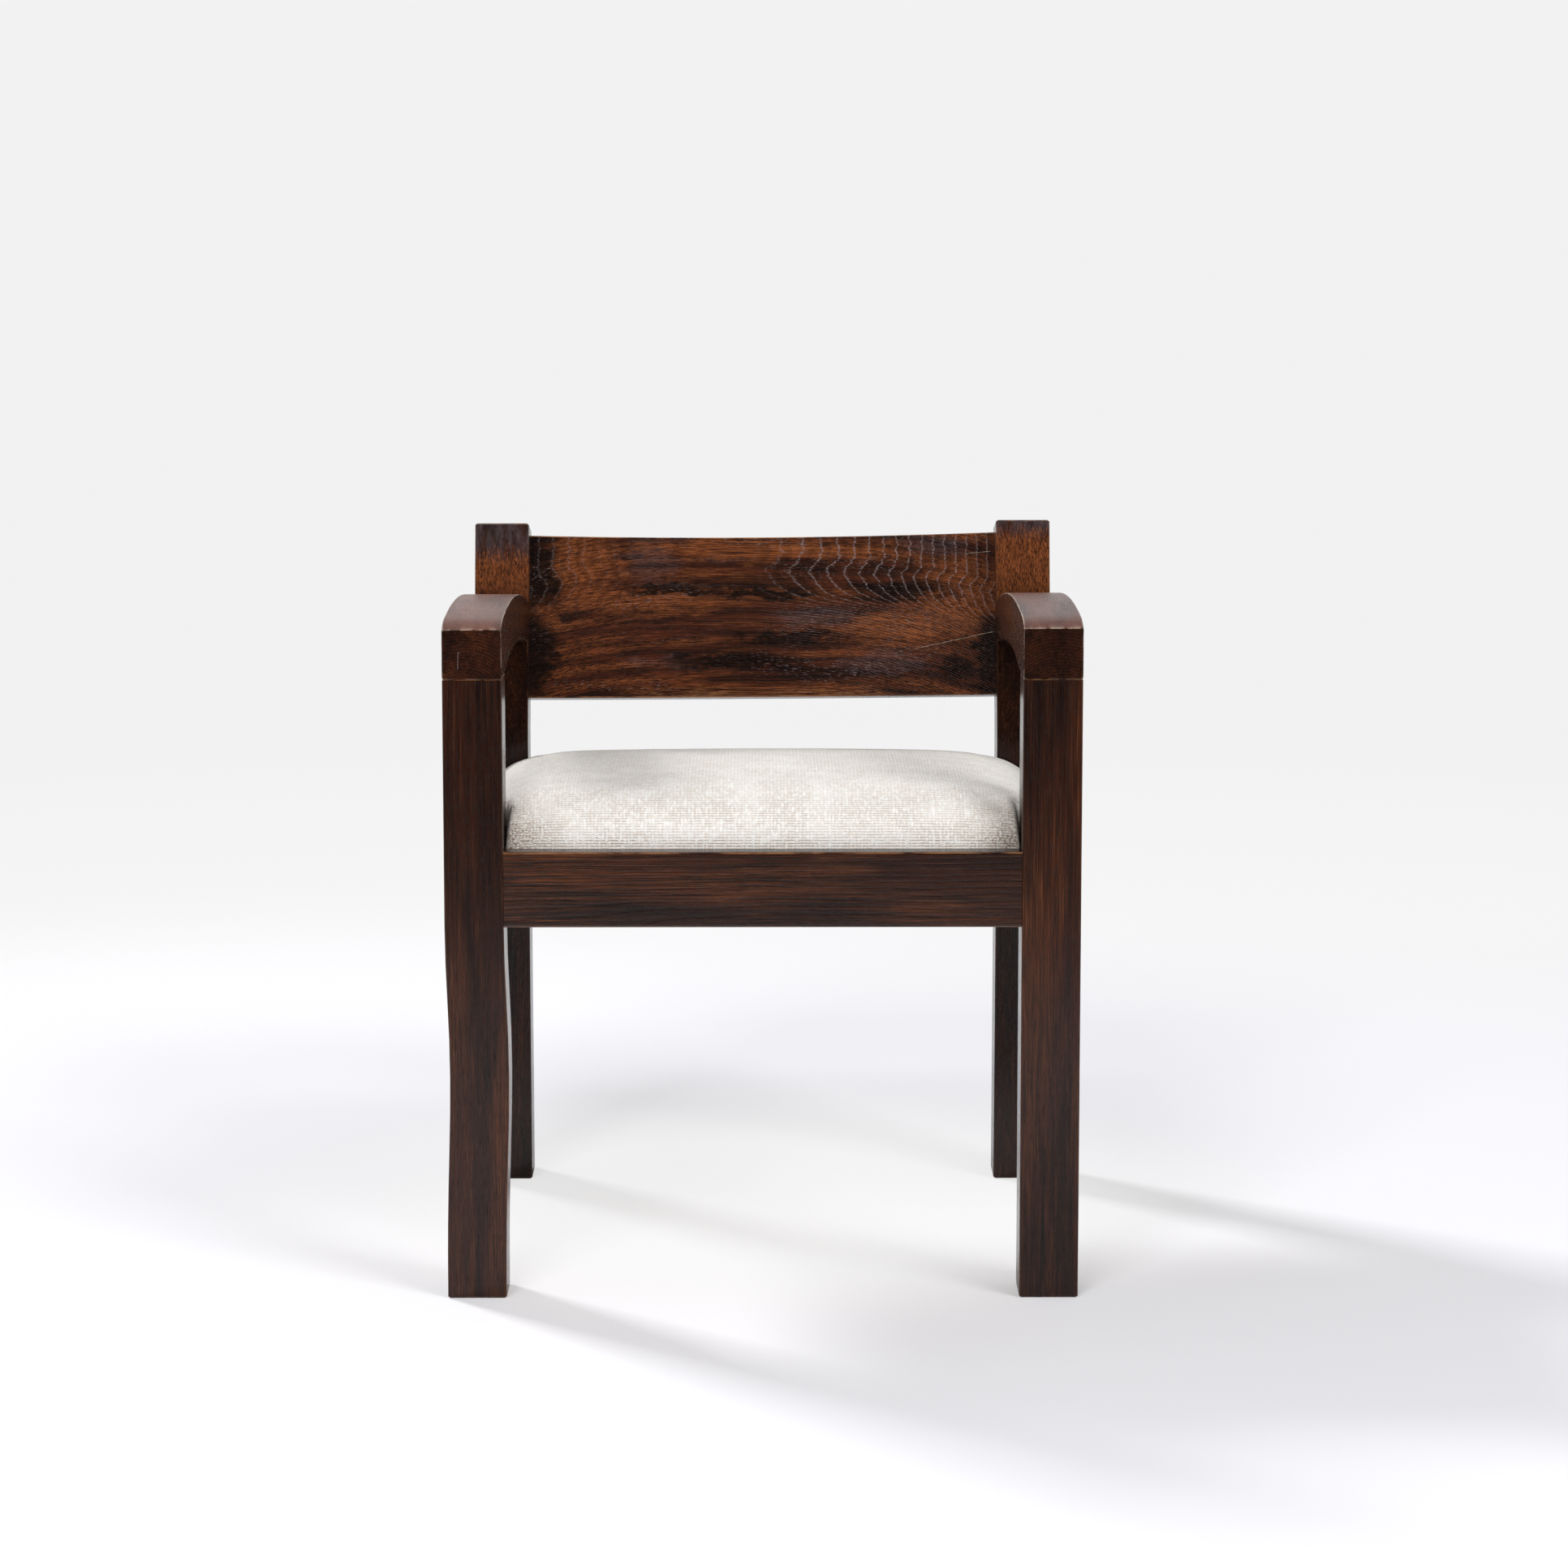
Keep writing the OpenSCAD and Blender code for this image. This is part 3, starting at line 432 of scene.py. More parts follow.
def board_oak(node, lean, seed):
    """The board's figure: fibres that arch from the lower left, and at the right chevrons of filled pores"""
    t = Material("oak_" + node)
    p = grain_space(t, node, "X", lean)
    u, inward, v = t.split(p)
    face = t.join(u, v, 0)
    sway = (t.noise(face, (5, 14, 1), 2, 0.5, seed) - 0.5) * 0.026
    zigzag = (t.noise(face, (34, 150, 1), 3, 0.65, seed + 2) - 0.5) * 0.015

    # Height across the arching fibres, and the rings' place from it
    left, right = t.most(ARCH_ENDS[0] - u, 0), t.most(u - ARCH_ENDS[1], 0)
    flow = v - CHEVRON_LEVEL + (left * left + right * right) * ARCH_FALL - sway * 0.35
    below, above = t.most(-flow, 0), t.most(flow, 0)
    bend = (t.math("MINIMUM", below, ARC_DEPTH) / ARC_DEPTH) ** 4 * ARC_BEND
    lower = below * ARC_SLOPE + bend + t.most(below - ARC_DEPTH, 0) * TAIL_SLOPE
    upper = t.between(above, 0, 0.018) * 0.013
    reach = t.most(u - CROWD_RIGHT, 0)
    opened = reach * 0.7 + reach * reach * 2.5 + t.most(CROWD_LEFT - u, 0) * 1.3
    ring = t.math("FRACT", (opened - lower - upper + sway * 0.4 + zigzag) / BOARD_RING)

    q = t.join(u, flow, inward)
    streaks, broad, pores = fibres(t, q, seed)
    blotch = t.noise(q, (4, 34, 10), 4, 0.62, seed + 11)
    glow = t.noise(q, (4, 60, 10), 3, 0.55, seed + 17)
    colour = stained(t, streaks, broad, blotch, glow, 0.9, 0.75)
    stray = (t.noise(face, (26, 60, 1), 4, 0.7, seed + 29) - 0.5) * 0.07
    ragged = (u + stray, v - stray * 0.6)
    orange = patches(t, *ragged, BOARD_ORANGE) * t.between(streaks, 0.30, 0.62, 0.15, 0.85)
    colour = t.mix(orange, colour, OAK_ORANGE)
    # Painted grey sheen in patches
    painted_sheen = patches(t, *ragged, BOARD_SHEEN) * t.between(streaks, 0.4, 0.62, 0.15, 0.6)
    colour = t.mix(painted_sheen, colour, OAK_HAZE_AND_SHEEN)
    # Black figure, and painted shade at the ends beside the posts
    colour = t.mix(patches(t, *ragged, BOARD_BLACK_AND_END_SHADE) * 0.9, colour, OAK_BLACK)
    low_edge = t.between(v, -0.073, -0.082) * t.between(abs(u), 0.16, 0.08)
    colour = t.mix(low_edge * t.between(streaks, 0.42, 0.6, 0, 0.7), colour, OAK_TAN)

    middling = t.noise(q, (5, 380, 10), 4, 0.65, seed + 31)
    shade = streaks * 1.6 - 0.95 + middling * 1.55
    shade = shade * (1.10 - t.between(ring, 0.25, 1.0) * 0.30) * (1 - pores * 0.4)
    colour = t.darker(colour, shade)

    # Pores filled with grey: rings at the right, in a fan below them and at the left end, and short dashes
    speck = t.noise(face, (160, 900, 1), 2, 0.6, seed + 37)
    chevrons = t.between(u, -0.01, 0.06, 0.12, 1.0) * t.between(v, -0.035, -0.01, 0.15, 1.0)
    fan = t.between(u, 0.06, 0.11) * t.between(v, -0.015, -0.035)
    left_end = t.between(u, -0.15, -0.21) * t.between(v, -0.01, 0.03)
    zone = t.most(chevrons, fan * 0.6, left_end * 0.38)
    filled = t.between(abs(ring - 0.5), 0.10, 0.02) * zone * t.between(speck, 0.40, 0.60, 0.03, 0.66)
    colour = t.mix(filled, colour, PORE_GREY)
    dashes = t.between(t.noise(q, (140, 1500, 1), 1, 0.5, seed + 41), 0.63, 0.70)
    dashes = dashes * t.between(t.noise(face, (9, 30, 1), 2, 0.5, seed + 43), 0.5, 0.66, 0.1, 0.7)
    colour = t.mix(dashes, colour, PORE_GREY)
    cracks = lines(t, u, v + zigzag * 0.12, BOARD_CRACKS, BOARD_CRACK_WIDTH)
    colour = t.mix(cracks * t.between(speck, 0.35, 0.6, 0.2, 0.7), colour, EDGE_PALE)
    rubbed = arris(t, lean) * t.between(t.noise(p, (30, 90, 90), 3, 0.6, seed + 23), 0.34, 0.55)
    colour = t.mix(rubbed * t.between(u, 0.12, 0.04, 0.3, 0.85), colour, OAK_WORN)

    height = streaks * 0.4 - pores - cracks * 3
    rough = 0.25 - blotch * 0.08 + filled * 0.3
    return varnish(t, colour, height, rough, 0.27)


# Colours of the hidden wood and of the screws, each from its darker to its lighter part
BEECH = (srgb(196, 160, 118), srgb(222, 190, 150))
BEECH_FLECK = srgb(150, 108, 74)
STEEL = (srgb(150, 150, 152), srgb(186, 186, 188))


def beech(name):
    """Plain hidden wood"""
    t = Material(name)
    p = t.place()
    streaks = t.noise(p, (60, 60, 700), 3, 0.6)
    flecks = t.between(t.noise(p, (900, 900, 160), 1, 0.5, 4), 0.6, 0.7)
    colour = t.mix(flecks * 0.5, t.mix(streaks, *BEECH), BEECH_FLECK)
    return t.finish(Base_Color=colour, Roughness=0.55, Normal=t.bump(streaks, 0.0001))


def steel(name):
    t = Material(name)
    turned = t.noise(t.place(), (900, 900, 900), 2, 0.6)
    return t.finish(Base_Color=t.mix(turned, *STEEL), Metallic=1.0, Roughness=turned * 0.25 + 0.25)


# Cover fabric, in metres on the cloth: how far apart the weave's rows and columns lie
ROW_PITCH = 0.0028
COLUMN_PITCH = 0.0034
WEAVE_RELIEF = 0.0007
IVORY_LIGHT = srgb(253, 251, 247)
IVORY_WARM = srgb(251, 246, 240)
IVORY_GAP = srgb(198, 180, 160)
# Soil and painted shade at the front corners
IVORY_SOIL_AND_SHADE = srgb(126, 98, 72)
# Front corners of the cover, soiled and darkened with painted shade beside the legs: distances from the
# chair's middle, the rail's top and the cover's front between which this comes in
SOIL_SHADE_ACROSS = (0.175, 0.243)
SOIL_SHADE_ABOVE = (0.065, 0.002)
SOIL_SHADE_BEHIND = (0.09, 0.01)
# Hidden fabrics: how far apart their yarns lie, how wide the webbing's zigzag is, and their colours
SACK_PITCH = 0.0021
SACK = (srgb(150, 118, 78), srgb(190, 160, 116))
SACK_GAP = srgb(84, 62, 40)
YARN_PITCH = 0.0022
ZIGZAG_WIDTH = 0.004
JUTE = (srgb(172, 142, 96), srgb(204, 178, 134))
JUTE_GAP = srgb(112, 84, 50)
WADDING = (srgb(222, 212, 190), srgb(246, 240, 226))


def threads(t, along, across, pitch, seed):
    """Gaps beside the threads of one direction of a weave, each a short dash"""
    count = across / pitch
    beside = abs(t.math("FRACT", count) * 2 - 1)
    dashes = t.noise(t.join(along, t.math("FLOOR", count) * 0.37, 0), (290, 40, 0), 1, 0.5, seed)
    return t.between(beside, 0.30, 0.85) * t.between(dashes, 0.38, 0.54)


def woven_cover(name):
    """Chunky ivory weave in rows of short dashes, worn smooth in places, and at its front corners soiled and
    darkened with painted shade beside the legs
    """
    t = Material(name)
    place = t.add("ShaderNodeAttribute", attribute_name="weave").outputs["Vector"]
    x, y, _ = t.split(t.stray(place, 120, (0.0016, 0.0009, 0)))
    gap = t.most(threads(t, x, y, ROW_PITCH, 3.0), threads(t, y, x, COLUMN_PITCH, 7.0) * 0.5)
    gap = gap * t.between(t.noise(place, (25, 40, 0), 2, 0.5, 3.0), 0.34, 0.60, 0.6, 0.95)
    slub = t.noise(place, (120, 700, 0), 2, 0.6, 9.0)
    fuzz = t.noise(place, (2200, 2200, 0), 3, 0.7, 5.0)
    mottle = t.noise(place, (150, 150, 0), 4, 0.65, 15.0)
    colour = t.mix(t.between(mottle, 0.40, 0.64), IVORY_LIGHT, IVORY_WARM)
    colour = t.darker(colour, (slub + fuzz) * 0.14 + 0.87)
    colour = t.mix(gap * 0.8, colour, IVORY_GAP)

    x, y, z = t.split(t.place())
    # Painted shade, and soil, at the front corners beside the legs
    soil_and_shade = t.between(abs(x), *SOIL_SHADE_ACROSS) * t.between(z - RAIL_TOP, *SOIL_SHADE_ABOVE)
    soil_and_shade = soil_and_shade * t.between(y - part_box("seat_cover")[0].y, *SOIL_SHADE_BEHIND)
    speckle = t.between(t.noise(place, (420, 420, 0), 3, 0.6, 21.0), 0.42, 0.62, 0.25, 0.95)
    colour = t.mix(soil_and_shade * speckle, colour, IVORY_SOIL_AND_SHADE)
    relief = (slub + fuzz) * 0.5 - gap
    return t.finish(Base_Color=colour, Roughness=0.95, Sheen_Weight=0.35, Sheen_Roughness=0.5,
                    Specular_IOR_Level=0.15, Normal=t.bump(relief, WEAVE_RELIEF))


def cross_weave(t, x, y, pitch):
    """Height of a plain weave of two crossing yarns, from 0 to 1"""
    u, v = x / pitch, y / pitch
    over = t.math("ROUND", t.math("FRACT", (t.math("FLOOR", u) + t.math("FLOOR", v)) * 0.5))
    along_x = t.math("SINE", t.math("FRACT", v) * math.pi)
    along_y = t.math("SINE", t.math("FRACT", u) * math.pi)
    return t.most(along_x * (over * 0.5 + 0.5), along_y * (1 - over * 0.5))


def sacking(name):
    t = Material(name)
    place = t.place()
    x, y, _ = t.split(t.stray(place, 160, (0.002, 0.002, 0)))
    yarn = cross_weave(t, x, y, SACK_PITCH)
    slub = t.noise(place, (400, 60, 60), 3, 0.6, 4.0)
    colour = t.mix(t.between(yarn, 0.55, 0.2), t.mix(slub, *SACK), SACK_GAP)
    return t.finish(Base_Color=colour, Roughness=0.9, Specular_IOR_Level=0.2, Normal=t.bump(yarn, 0.0004))


def herringbone(name):
    """Jute webbing: slanted yarns that turn back every few millimetres, with dark threads between them"""
    t = Material(name)
    place = t.place()
    x, y, _ = t.split(place)
    yarn = t.math("PINGPONG", (y + t.math("PINGPONG", x, ZIGZAG_WIDTH)) / YARN_PITCH, 0.5)
    fuzz = t.noise(place, (900, 900, 900), 3, 0.6)
    colour = t.mix(t.between(yarn, 0.2, 0.02), t.mix(fuzz, *JUTE), JUTE_GAP)
    return t.finish(Base_Color=colour, Roughness=0.9, Specular_IOR_Level=0.2, Normal=t.bump(yarn, 0.0005))


def padding(name):
    """Matted cotton wadding round the foam"""
    t = Material(name)
    place = t.place()
    lumps = t.noise(place, (60, 60, 60), 3, 0.6)
    matted = t.noise(place, (700, 300, 700), 4, 0.7, 6.0)
    colour = t.mix((lumps + matted) * 0.5, *WADDING)
    return t.finish(Base_Color=colour, Roughness=0.95, Specular_IOR_Level=0.1,
                    Normal=t.bump(lumps * 2 + matted, 0.0008))


# Points of a CAD mesh closer than this are one, and edges sharper than this many degrees stay sharp
WELD = 1e-5
SHARP_ANGLE = 35


def smoothing_group():
    """Geometry nodes that weld a CAD mesh and shade it smooth, apart from its sharp edges"""
    group = bpy.data.node_groups.new("smooth_shading", "GeometryNodeTree")
    for way in ("INPUT", "OUTPUT"):
        group.interface.new_socket("Geometry", in_out=way, socket_type="NodeSocketGeometry")
    t = Tree(group)
    start = t.add("NodeGroupInput")
    weld = t.add("GeometryNodeMergeByDistance", {"Geometry": start.outputs[0], "Distance": WELD})
    smooth = t.add("GeometryNodeSetShadeSmooth", {"Geometry": weld.outputs[0], "Shade Smooth": True},
                   domain="FACE")
    angle = t.add("GeometryNodeInputMeshEdgeAngle").outputs["Unsigned Angle"]
    sharp = t.add("FunctionNodeCompare", {0: angle, 1: math.radians(SHARP_ANGLE)}, data_type="FLOAT",
                  operation="GREATER_THAN")
    edges = t.add("GeometryNodeSetShadeSmooth", {"Geometry": smooth.outputs[0], "Selection": sharp.outputs[0],
                                                 "Shade Smooth": False}, domain="EDGE")
    t.add("NodeGroupOutput", {0: edges.outputs[0]})
    return group


def finish_node(name, material, group):
    """Gives a CAD node its material and smooth arrises"""
    obj = NODES[name]
    obj.data.materials.clear()
    obj.data.materials.append(material)
    obj.modifiers.new("smooth_shading", "NODES").node_group = group
    obj.modifiers.new("flat_faces", "WEIGHTED_NORMAL").keep_sharp = True


def dress_frame():
    group = smoothing_group()
    for name, look in WOODS.items():
        finish_node(name, oak(name, **look), group)
    board = board_oak("backrest_board", math.radians(BOARD_LEAN), BOARD_SEED)
    finish_node("backrest_board", board, group)
    plain, metal = beech("beech_inside"), steel("screw_steel")
    for name in NODES:
        if name.startswith(("corner_block_", "seat_cleat_", "seat_frame_", "arm_dowels_")):
            finish_node(name, metal if name.endswith("screws") else plain, group)


def show(name, data):
    """Puts a mesh, lamp or camera into the scene"""
    obj = bpy.data.objects.new(name, data)
    bpy.context.scene.collection.objects.link(obj)
    return obj


def show_mesh(name, points, faces):
    mesh = bpy.data.meshes.new(name)
    mesh.from_pydata(points, [], faces)
    return show(name, mesh)


# Seat. Slack in finding the outline's corners and sides, and how far inside it the CAD surface is measured.
CORNER_SLACK = 0.001
NOTCH_SLACK = 1e-6
SIDE_SLACK = 1e-5
SURFACE_INSET = 1e-4
FABRIC = 0.0012
HEM = 0.024
FOAM_INSET = 0.005
HESSIAN_INSET = 0.010
HESSIAN_THICKNESS = 0.0007
HESSIAN_LINES = (56, 48)
# Spacing of a pad's grid along its surface, samples of its profile, and how its lines crowd at the notches
CUSHION_STEP = 0.0072
FOAM_STEP = 0.009
PROFILE_SAMPLES = 1200
NOTCH_CROWDING = 2.0
NOTCH_REACH = 0.007
WALL_ROWS = 6
HEM_ROWS = 3
# How much lower than its CAD solid the stuffing lies, clear of the swollen cover
FOAM_SINK = 0.003
# The cushion starts this much lower than its CAD solid, swells under pressure against the hold of its
# stuffing, and no point moves further than the cap
SWELL_ROOM = 0.005
SWELL_CAP = 0.010
STUFFING_HOLD = 0.11
SWELL_FRAMES = 20
CLOTH = {"quality": 4, "tension_stiffness": 15, "compression_stiffness": 15, "bending_stiffness": 0.5,
         "use_pressure": True, "uniform_pressure_force": 4.0}
# Points above the rails' top by more than this are free, and the swelling eases in over this width
PIN_SLACK = 0.001
EASE_WIDTH = 0.03
# How far the front may bulge over the rail
FRONT_BULGE = 0.002
# The used seat's crown falls towards the rear, from this far behind the chair's front and at this rate
# per square metre, and has shallow hollows: their middles, half sizes and depths
FALL_START = 0.150
FALL_RATE = 0.2345
HOLLOWS = (
    ((0.030, 0.130), (0.075, 0.045), 0.0045),
    ((-0.140, 0.115), (0.045, 0.045), 0.0025),
    ((0.190, 0.150), (0.060, 0.060), 0.0030),
)


class SeatOutline:
    """The seat from above: a rectangle notched round the four legs"""

    def __init__(self, half, front, rear, notch_x, notch_front, notch_rear):
        self.half, self.front, self.rear = half, front, rear
        self.notch_x, self.notch_front, self.notch_rear = notch_x, notch_front, notch_rear
        self.middle = (front + rear) / 2

    def inset(self, d):
        return SeatOutline(self.half - d, self.front + d, self.rear - d,
                           self.notch_x - d, self.notch_front + d, self.notch_rear - d)

    def in_notch(self, x, y):
        outside = (y < self.notch_front - NOTCH_SLACK) | (y > self.notch_rear + NOTCH_SLACK)
        return (abs(x) > self.notch_x + NOTCH_SLACK) & outside

    def on_side(self, x, y):
        """Whether a point of the outline lies on an edge that runs from front to rear"""
        beside_leg = y < self.notch_front - SIDE_SLACK or y > self.notch_rear + SIDE_SLACK
        return abs(x) > self.half - SIDE_SLACK or (beside_leg and abs(x) > self.notch_x - SIDE_SLACK)

    def over_edge(self, x, y, fabric, distance):
        """Fabric coordinates this far over the edge from a point of the outline that has some"""
        across, along = fabric
        if self.on_side(x, y):
            return across + math.copysign(distance, x), along
        return across, along + math.copysign(distance, y - self.middle)

    def depth(self, x, y):
        """Distance in from the nearest edge"""
        edge = np.minimum(self.half - abs(x), np.minimum(y - self.front, self.rear - y))
        beside = np.minimum(y - self.notch_front, self.notch_rear - y)
        notch = np.hypot(np.maximum(0, self.notch_x - abs(x)), np.maximum(0, beside))
        return np.minimum(edge, notch)

    def drawn_in(self, x, y, d):
        """Where a point of the outline goes when the outline is drawn in by d"""
        inner = self.inset(d)
        new_x = np.interp(abs(x), [0, self.notch_x, self.half], [0, inner.notch_x, inner.half])
        new_y = np.interp(y, [self.front, self.notch_front, self.notch_rear, self.rear],
                          [inner.front, inner.notch_front, inner.notch_rear, inner.rear])
        return float(np.copysign(new_x, x)), float(new_y)

    def hold(self, points, bulge):
        """Keeps points inside the outline, apart from a bulge at its front"""
        x, y = points[:, 0], points[:, 1]
        x[:] = np.clip(x, -self.half, self.half)
        y[:] = np.clip(y, self.front - bulge, self.rear)
        inside = np.where(y < self.middle, self.notch_front, self.notch_rear)
        wrong = self.in_notch(x, y)
        sideways = wrong & (abs(x) - self.notch_x < abs(y - inside))
        x[sideways] = np.copysign(self.notch_x, x[sideways])
        y[wrong & ~sideways] = inside[wrong & ~sideways]

    def area(self):
        side = self.half - self.notch_x
        notches = self.notch_front - self.front + self.rear - self.notch_rear
        return 2 * self.half * (self.rear - self.front) - 2 * side * notches


def seat_outline():
    """The outline of the CAD cover, read from its corners"""
    low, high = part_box("seat_cover")
    corners = np.array([v.co for v in NODES["seat_cover"].data.vertices])
    x, y = abs(corners[:, 0]), corners[:, 1]
    notch_x = x[y < low.y + CORNER_SLACK].max()
    beside = y[x > notch_x + CORNER_SLACK]
    return SeatOutline(high.x, low.y, high.y, notch_x, beside.min(), beside.max())


def surface_above(node):
    """Height of a CAD solid's top at any place"""
    mesh = NODES[node].data
    tree = BVHTree.FromPolygons([v.co for v in mesh.vertices], [p.vertices for p in mesh.polygons])
    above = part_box(node)[1].z + 1

    def height(x, y):
        hit = tree.ray_cast(Vector((x, y, above)), Vector((0, 0, -1)))[0]
        return hit.z
    return height


def grid_lines(profile, low, high, step, fixed):
    """Places from low to high, evenly spaced along a profile and closer together beside the fixed ones.
    Also returns how far along the profile each place lies."""
    fine = np.linspace(low, high, PROFILE_SAMPLES)
    heights = np.array([profile(v) for v in fine])
    pieces = np.hypot(np.diff(fine), np.diff(heights))
    middles = (fine[1:] + fine[:-1]) / 2
    crowd = sum(NOTCH_CROWDING * np.exp(-((middles - v) / NOTCH_REACH) ** 2) for v in fixed)
    along = np.concatenate(([0], np.cumsum(pieces)))
    weighted = np.concatenate(([0], np.cumsum(pieces * (1 + crowd))))
    places = np.interp(np.linspace(0, weighted[-1], round(weighted[-1] / step) + 1), weighted, fine)
    snap(places, fixed)
    return places, np.interp(places, fine, along)


def snap(places, fixed):
    """Moves the nearest place onto each fixed one"""
    for value in fixed:
        places[np.argmin(abs(places - value))] = value


def outline_grid(outline, xs, ys):
    """Points of a grid inside the outline, as their lines, and the faces between them"""
    crossings = [(i, j) for j, y in enumerate(ys) for i, x in enumerate(xs) if not outline.in_notch(x, y)]
    index = {crossing: n for n, crossing in enumerate(crossings)}
    faces = []
    for j in range(len(ys) - 1):
        for i in range(len(xs) - 1):
            if not outline.in_notch((xs[i] + xs[i + 1]) / 2, (ys[j] + ys[j + 1]) / 2):
                faces.append((index[i, j], index[i + 1, j], index[i + 1, j + 1], index[i, j + 1]))
    return crossings, faces


def rim_of(faces):
    """Points round the edge of a grid, in order"""
    edges = {(face[k], face[(k + 1) % 4]) for face in faces for k in range(4)}
    after = {a: b for a, b in edges if (b, a) not in edges}
    rim = [min(after)]
    while after[rim[-1]] != rim[0]:
        rim.append(after[rim[-1]])
    return rim


def add_row(points, faces, ring, row):
    """Adds a row of points, with faces between it and a ring unless that is empty; returns the row's ring"""
    outer = list(range(len(points), len(points) + len(row)))
    points += row
    for n, a in enumerate(ring):
        m = (n + 1) % len(ring)
        faces.append((ring[m], a, outer[n], outer[m]))
    return outer


def pad_shape(node, outline, step):
    """Closed crowned form of a CAD pad: points, faces, lowest ring and fabric coordinates"""
    height = surface_above(node)
    low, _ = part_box(node)
    sunk = outline.inset(SURFACE_INSET)

    def top(x, y):
        return height(min(max(x, -sunk.half), sunk.half), min(max(y, sunk.front), sunk.rear))

    xs, along_x = grid_lines(lambda x: top(x, outline.middle), -outline.half, outline.half, step,
                             (-outline.notch_x, outline.notch_x))
    ys, along_y = grid_lines(lambda y: top(0, y), outline.front, outline.rear, step,
                             (outline.notch_front, outline.notch_rear))
    along_x -= along_x[-1] / 2
    crossings, faces = outline_grid(outline, xs, ys)
    points = [(xs[i], ys[j], height(*outline.drawn_in(xs[i], ys[j], SURFACE_INSET))) for i, j in crossings]
    weave = [(along_x[i], along_y[j]) for i, j in crossings]
    rim = rim_of(faces)
    ring = rim
    for row in range(1, WALL_ROWS + 1):
        wall = []
        for k in rim:
            x, y, z = points[k]
            down = (z - low.z) * row / WALL_ROWS
            wall.append((x, y, z - down))
            weave.append(outline.over_edge(x, y, weave[k], down))
        ring = add_row(points, faces, ring, wall)
    return points, faces, ring, weave


def new_piece(name, points, faces, material):
    obj = show_mesh(name, points, faces)
    obj.data.update()
    obj.data.shade_smooth()
    obj.data.materials.append(material)
    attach(obj, "seat")
    return obj


def thicken(obj, name, thickness):
    """Gives a sheet its thickness, inwards from where it lies"""
    modifier = obj.modifiers.new(name, "SOLIDIFY")
    modifier.thickness = thickness
    modifier.offset = -1


def swell(shape, faces, pinned):
    """Blows a closed form up with Blender's Cloth, with some points pinned; returns its new points"""
    trial = show_mesh("trial", shape.tolist(), faces)
    group = trial.vertex_groups.new(name="pinned")
    group.add(list(range(len(shape))), STUFFING_HOLD, "REPLACE")
    group.add(pinned, 1.0, "REPLACE")
    cloth = trial.modifiers.new("swell", "CLOTH")
    for key, value in CLOTH.items():
        setattr(cloth.settings, key, value)
    cloth.settings.vertex_group_mass = group.name
    cloth.settings.effector_weights.gravity = 0
    cloth.collision_settings.use_collision = False
    cloth.point_cache.frame_start = 1
    cloth.point_cache.frame_end = SWELL_FRAMES
    for step in range(1, SWELL_FRAMES + 1):
        bpy.context.scene.frame_set(step)
    swelled = trial.evaluated_get(bpy.context.evaluated_depsgraph_get())
    points = np.empty(shape.size)
    swelled.data.vertices.foreach_get("co", points)
    bpy.data.objects.remove(trial)
    bpy.context.scene.frame_set(1)
    return points.reshape(-1, 3)


def sink(outline, shape, free, fall):
    """Lowers the free points of a pad, less and less towards its outline"""
    ease = np.clip(outline.depth(shape[:, 0], shape[:, 1]) / EASE_WIDTH, 0, 1)
    shape[:, 2] -= np.where(free, fall * ease * ease * (3 - 2 * ease), 0)


def settle(shape):
    """Lowers a pad's crown towards the rear and in its hollows, the more the higher it is above the rails"""
    behind = shape[:, 1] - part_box("front_rail")[0].y
    drop = FALL_RATE * np.maximum(0, behind - FALL_START) ** 2
    for (x, y), (wide, deep), depth in HOLLOWS:
        drop += depth * np.exp(-((shape[:, 0] - x) / wide) ** 2 - ((behind - y) / deep) ** 2)
    above = np.maximum(0, shape[:, 2] - RAIL_TOP)
    shape[:, 2] -= above * drop / (CROWN - RAIL_TOP)


def swollen(outline, shape, faces):
    """Swells a pad's free part, by no more than the cap, back to the height of its crown"""
    free = shape[:, 2] > RAIL_TOP + PIN_SLACK
    sink(outline, shape, free, SWELL_ROOM)
    moved = swell(shape, faces, np.flatnonzero(~free).tolist()) - shape
    length = np.maximum(np.linalg.norm(moved, axis=1, keepdims=True), 1e-9)
    shape += moved * np.minimum(1, SWELL_CAP / length)
    above = np.maximum(0, shape[:, 2] - RAIL_TOP)
    shape[:, 2] += above * ((CROWN - RAIL_TOP) / above.max() - 1)
    settle(shape)
    outline.hold(shape, FRONT_BULGE)


def make_cushion():
    """Cover of the seat: swollen over the stuffing, tight below the rails' top, hemmed under the frame"""
    outline = seat_outline()
    points, faces, ring, weave = pad_shape("seat_cover", outline, CUSHION_STEP)
    edge = [(points[k], weave[k]) for k in ring]
    shape = np.array(points)
    swollen(outline, shape, faces + [tuple(reversed(ring))])
    points = shape.tolist()
    for row in range(1, HEM_ROWS + 1):
        inset = HEM * row / HEM_ROWS
        ring = add_row(points, faces, ring, [(*outline.drawn_in(x, y, inset), z) for (x, y, z), _ in edge])
        weave += [outline.over_edge(x, y, fabric, inset) for (x, y, _), fabric in edge]
    cushion = new_piece("seat_cushion", points, faces, woven_cover("ivory_weave"))
    fabric = cushion.data.attributes.new("weave", "FLOAT_VECTOR", "POINT")
    fabric.data.foreach_set("vector", [c for across, along in weave for c in (across, along, 0)])
    soft = cushion.modifiers.new("soften", "SUBSURF")
    soft.levels = 1
    soft.render_levels = 1
    thicken(cushion, "fabric", FABRIC)
    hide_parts("seat_cover")


def make_stuffing():
    outline = seat_outline().inset(FOAM_INSET)
    points, faces, ring, _ = pad_shape("seat_foam", outline, FOAM_STEP)
    shape = np.array(points)
    sink(outline, shape, shape[:, 2] > RAIL_TOP, FOAM_SINK)
    settle(shape)
    foam = new_piece("seat_stuffing", shape.tolist(), faces + [tuple(reversed(ring))],
                      padding("cotton_padding"))
    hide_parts("seat_foam")


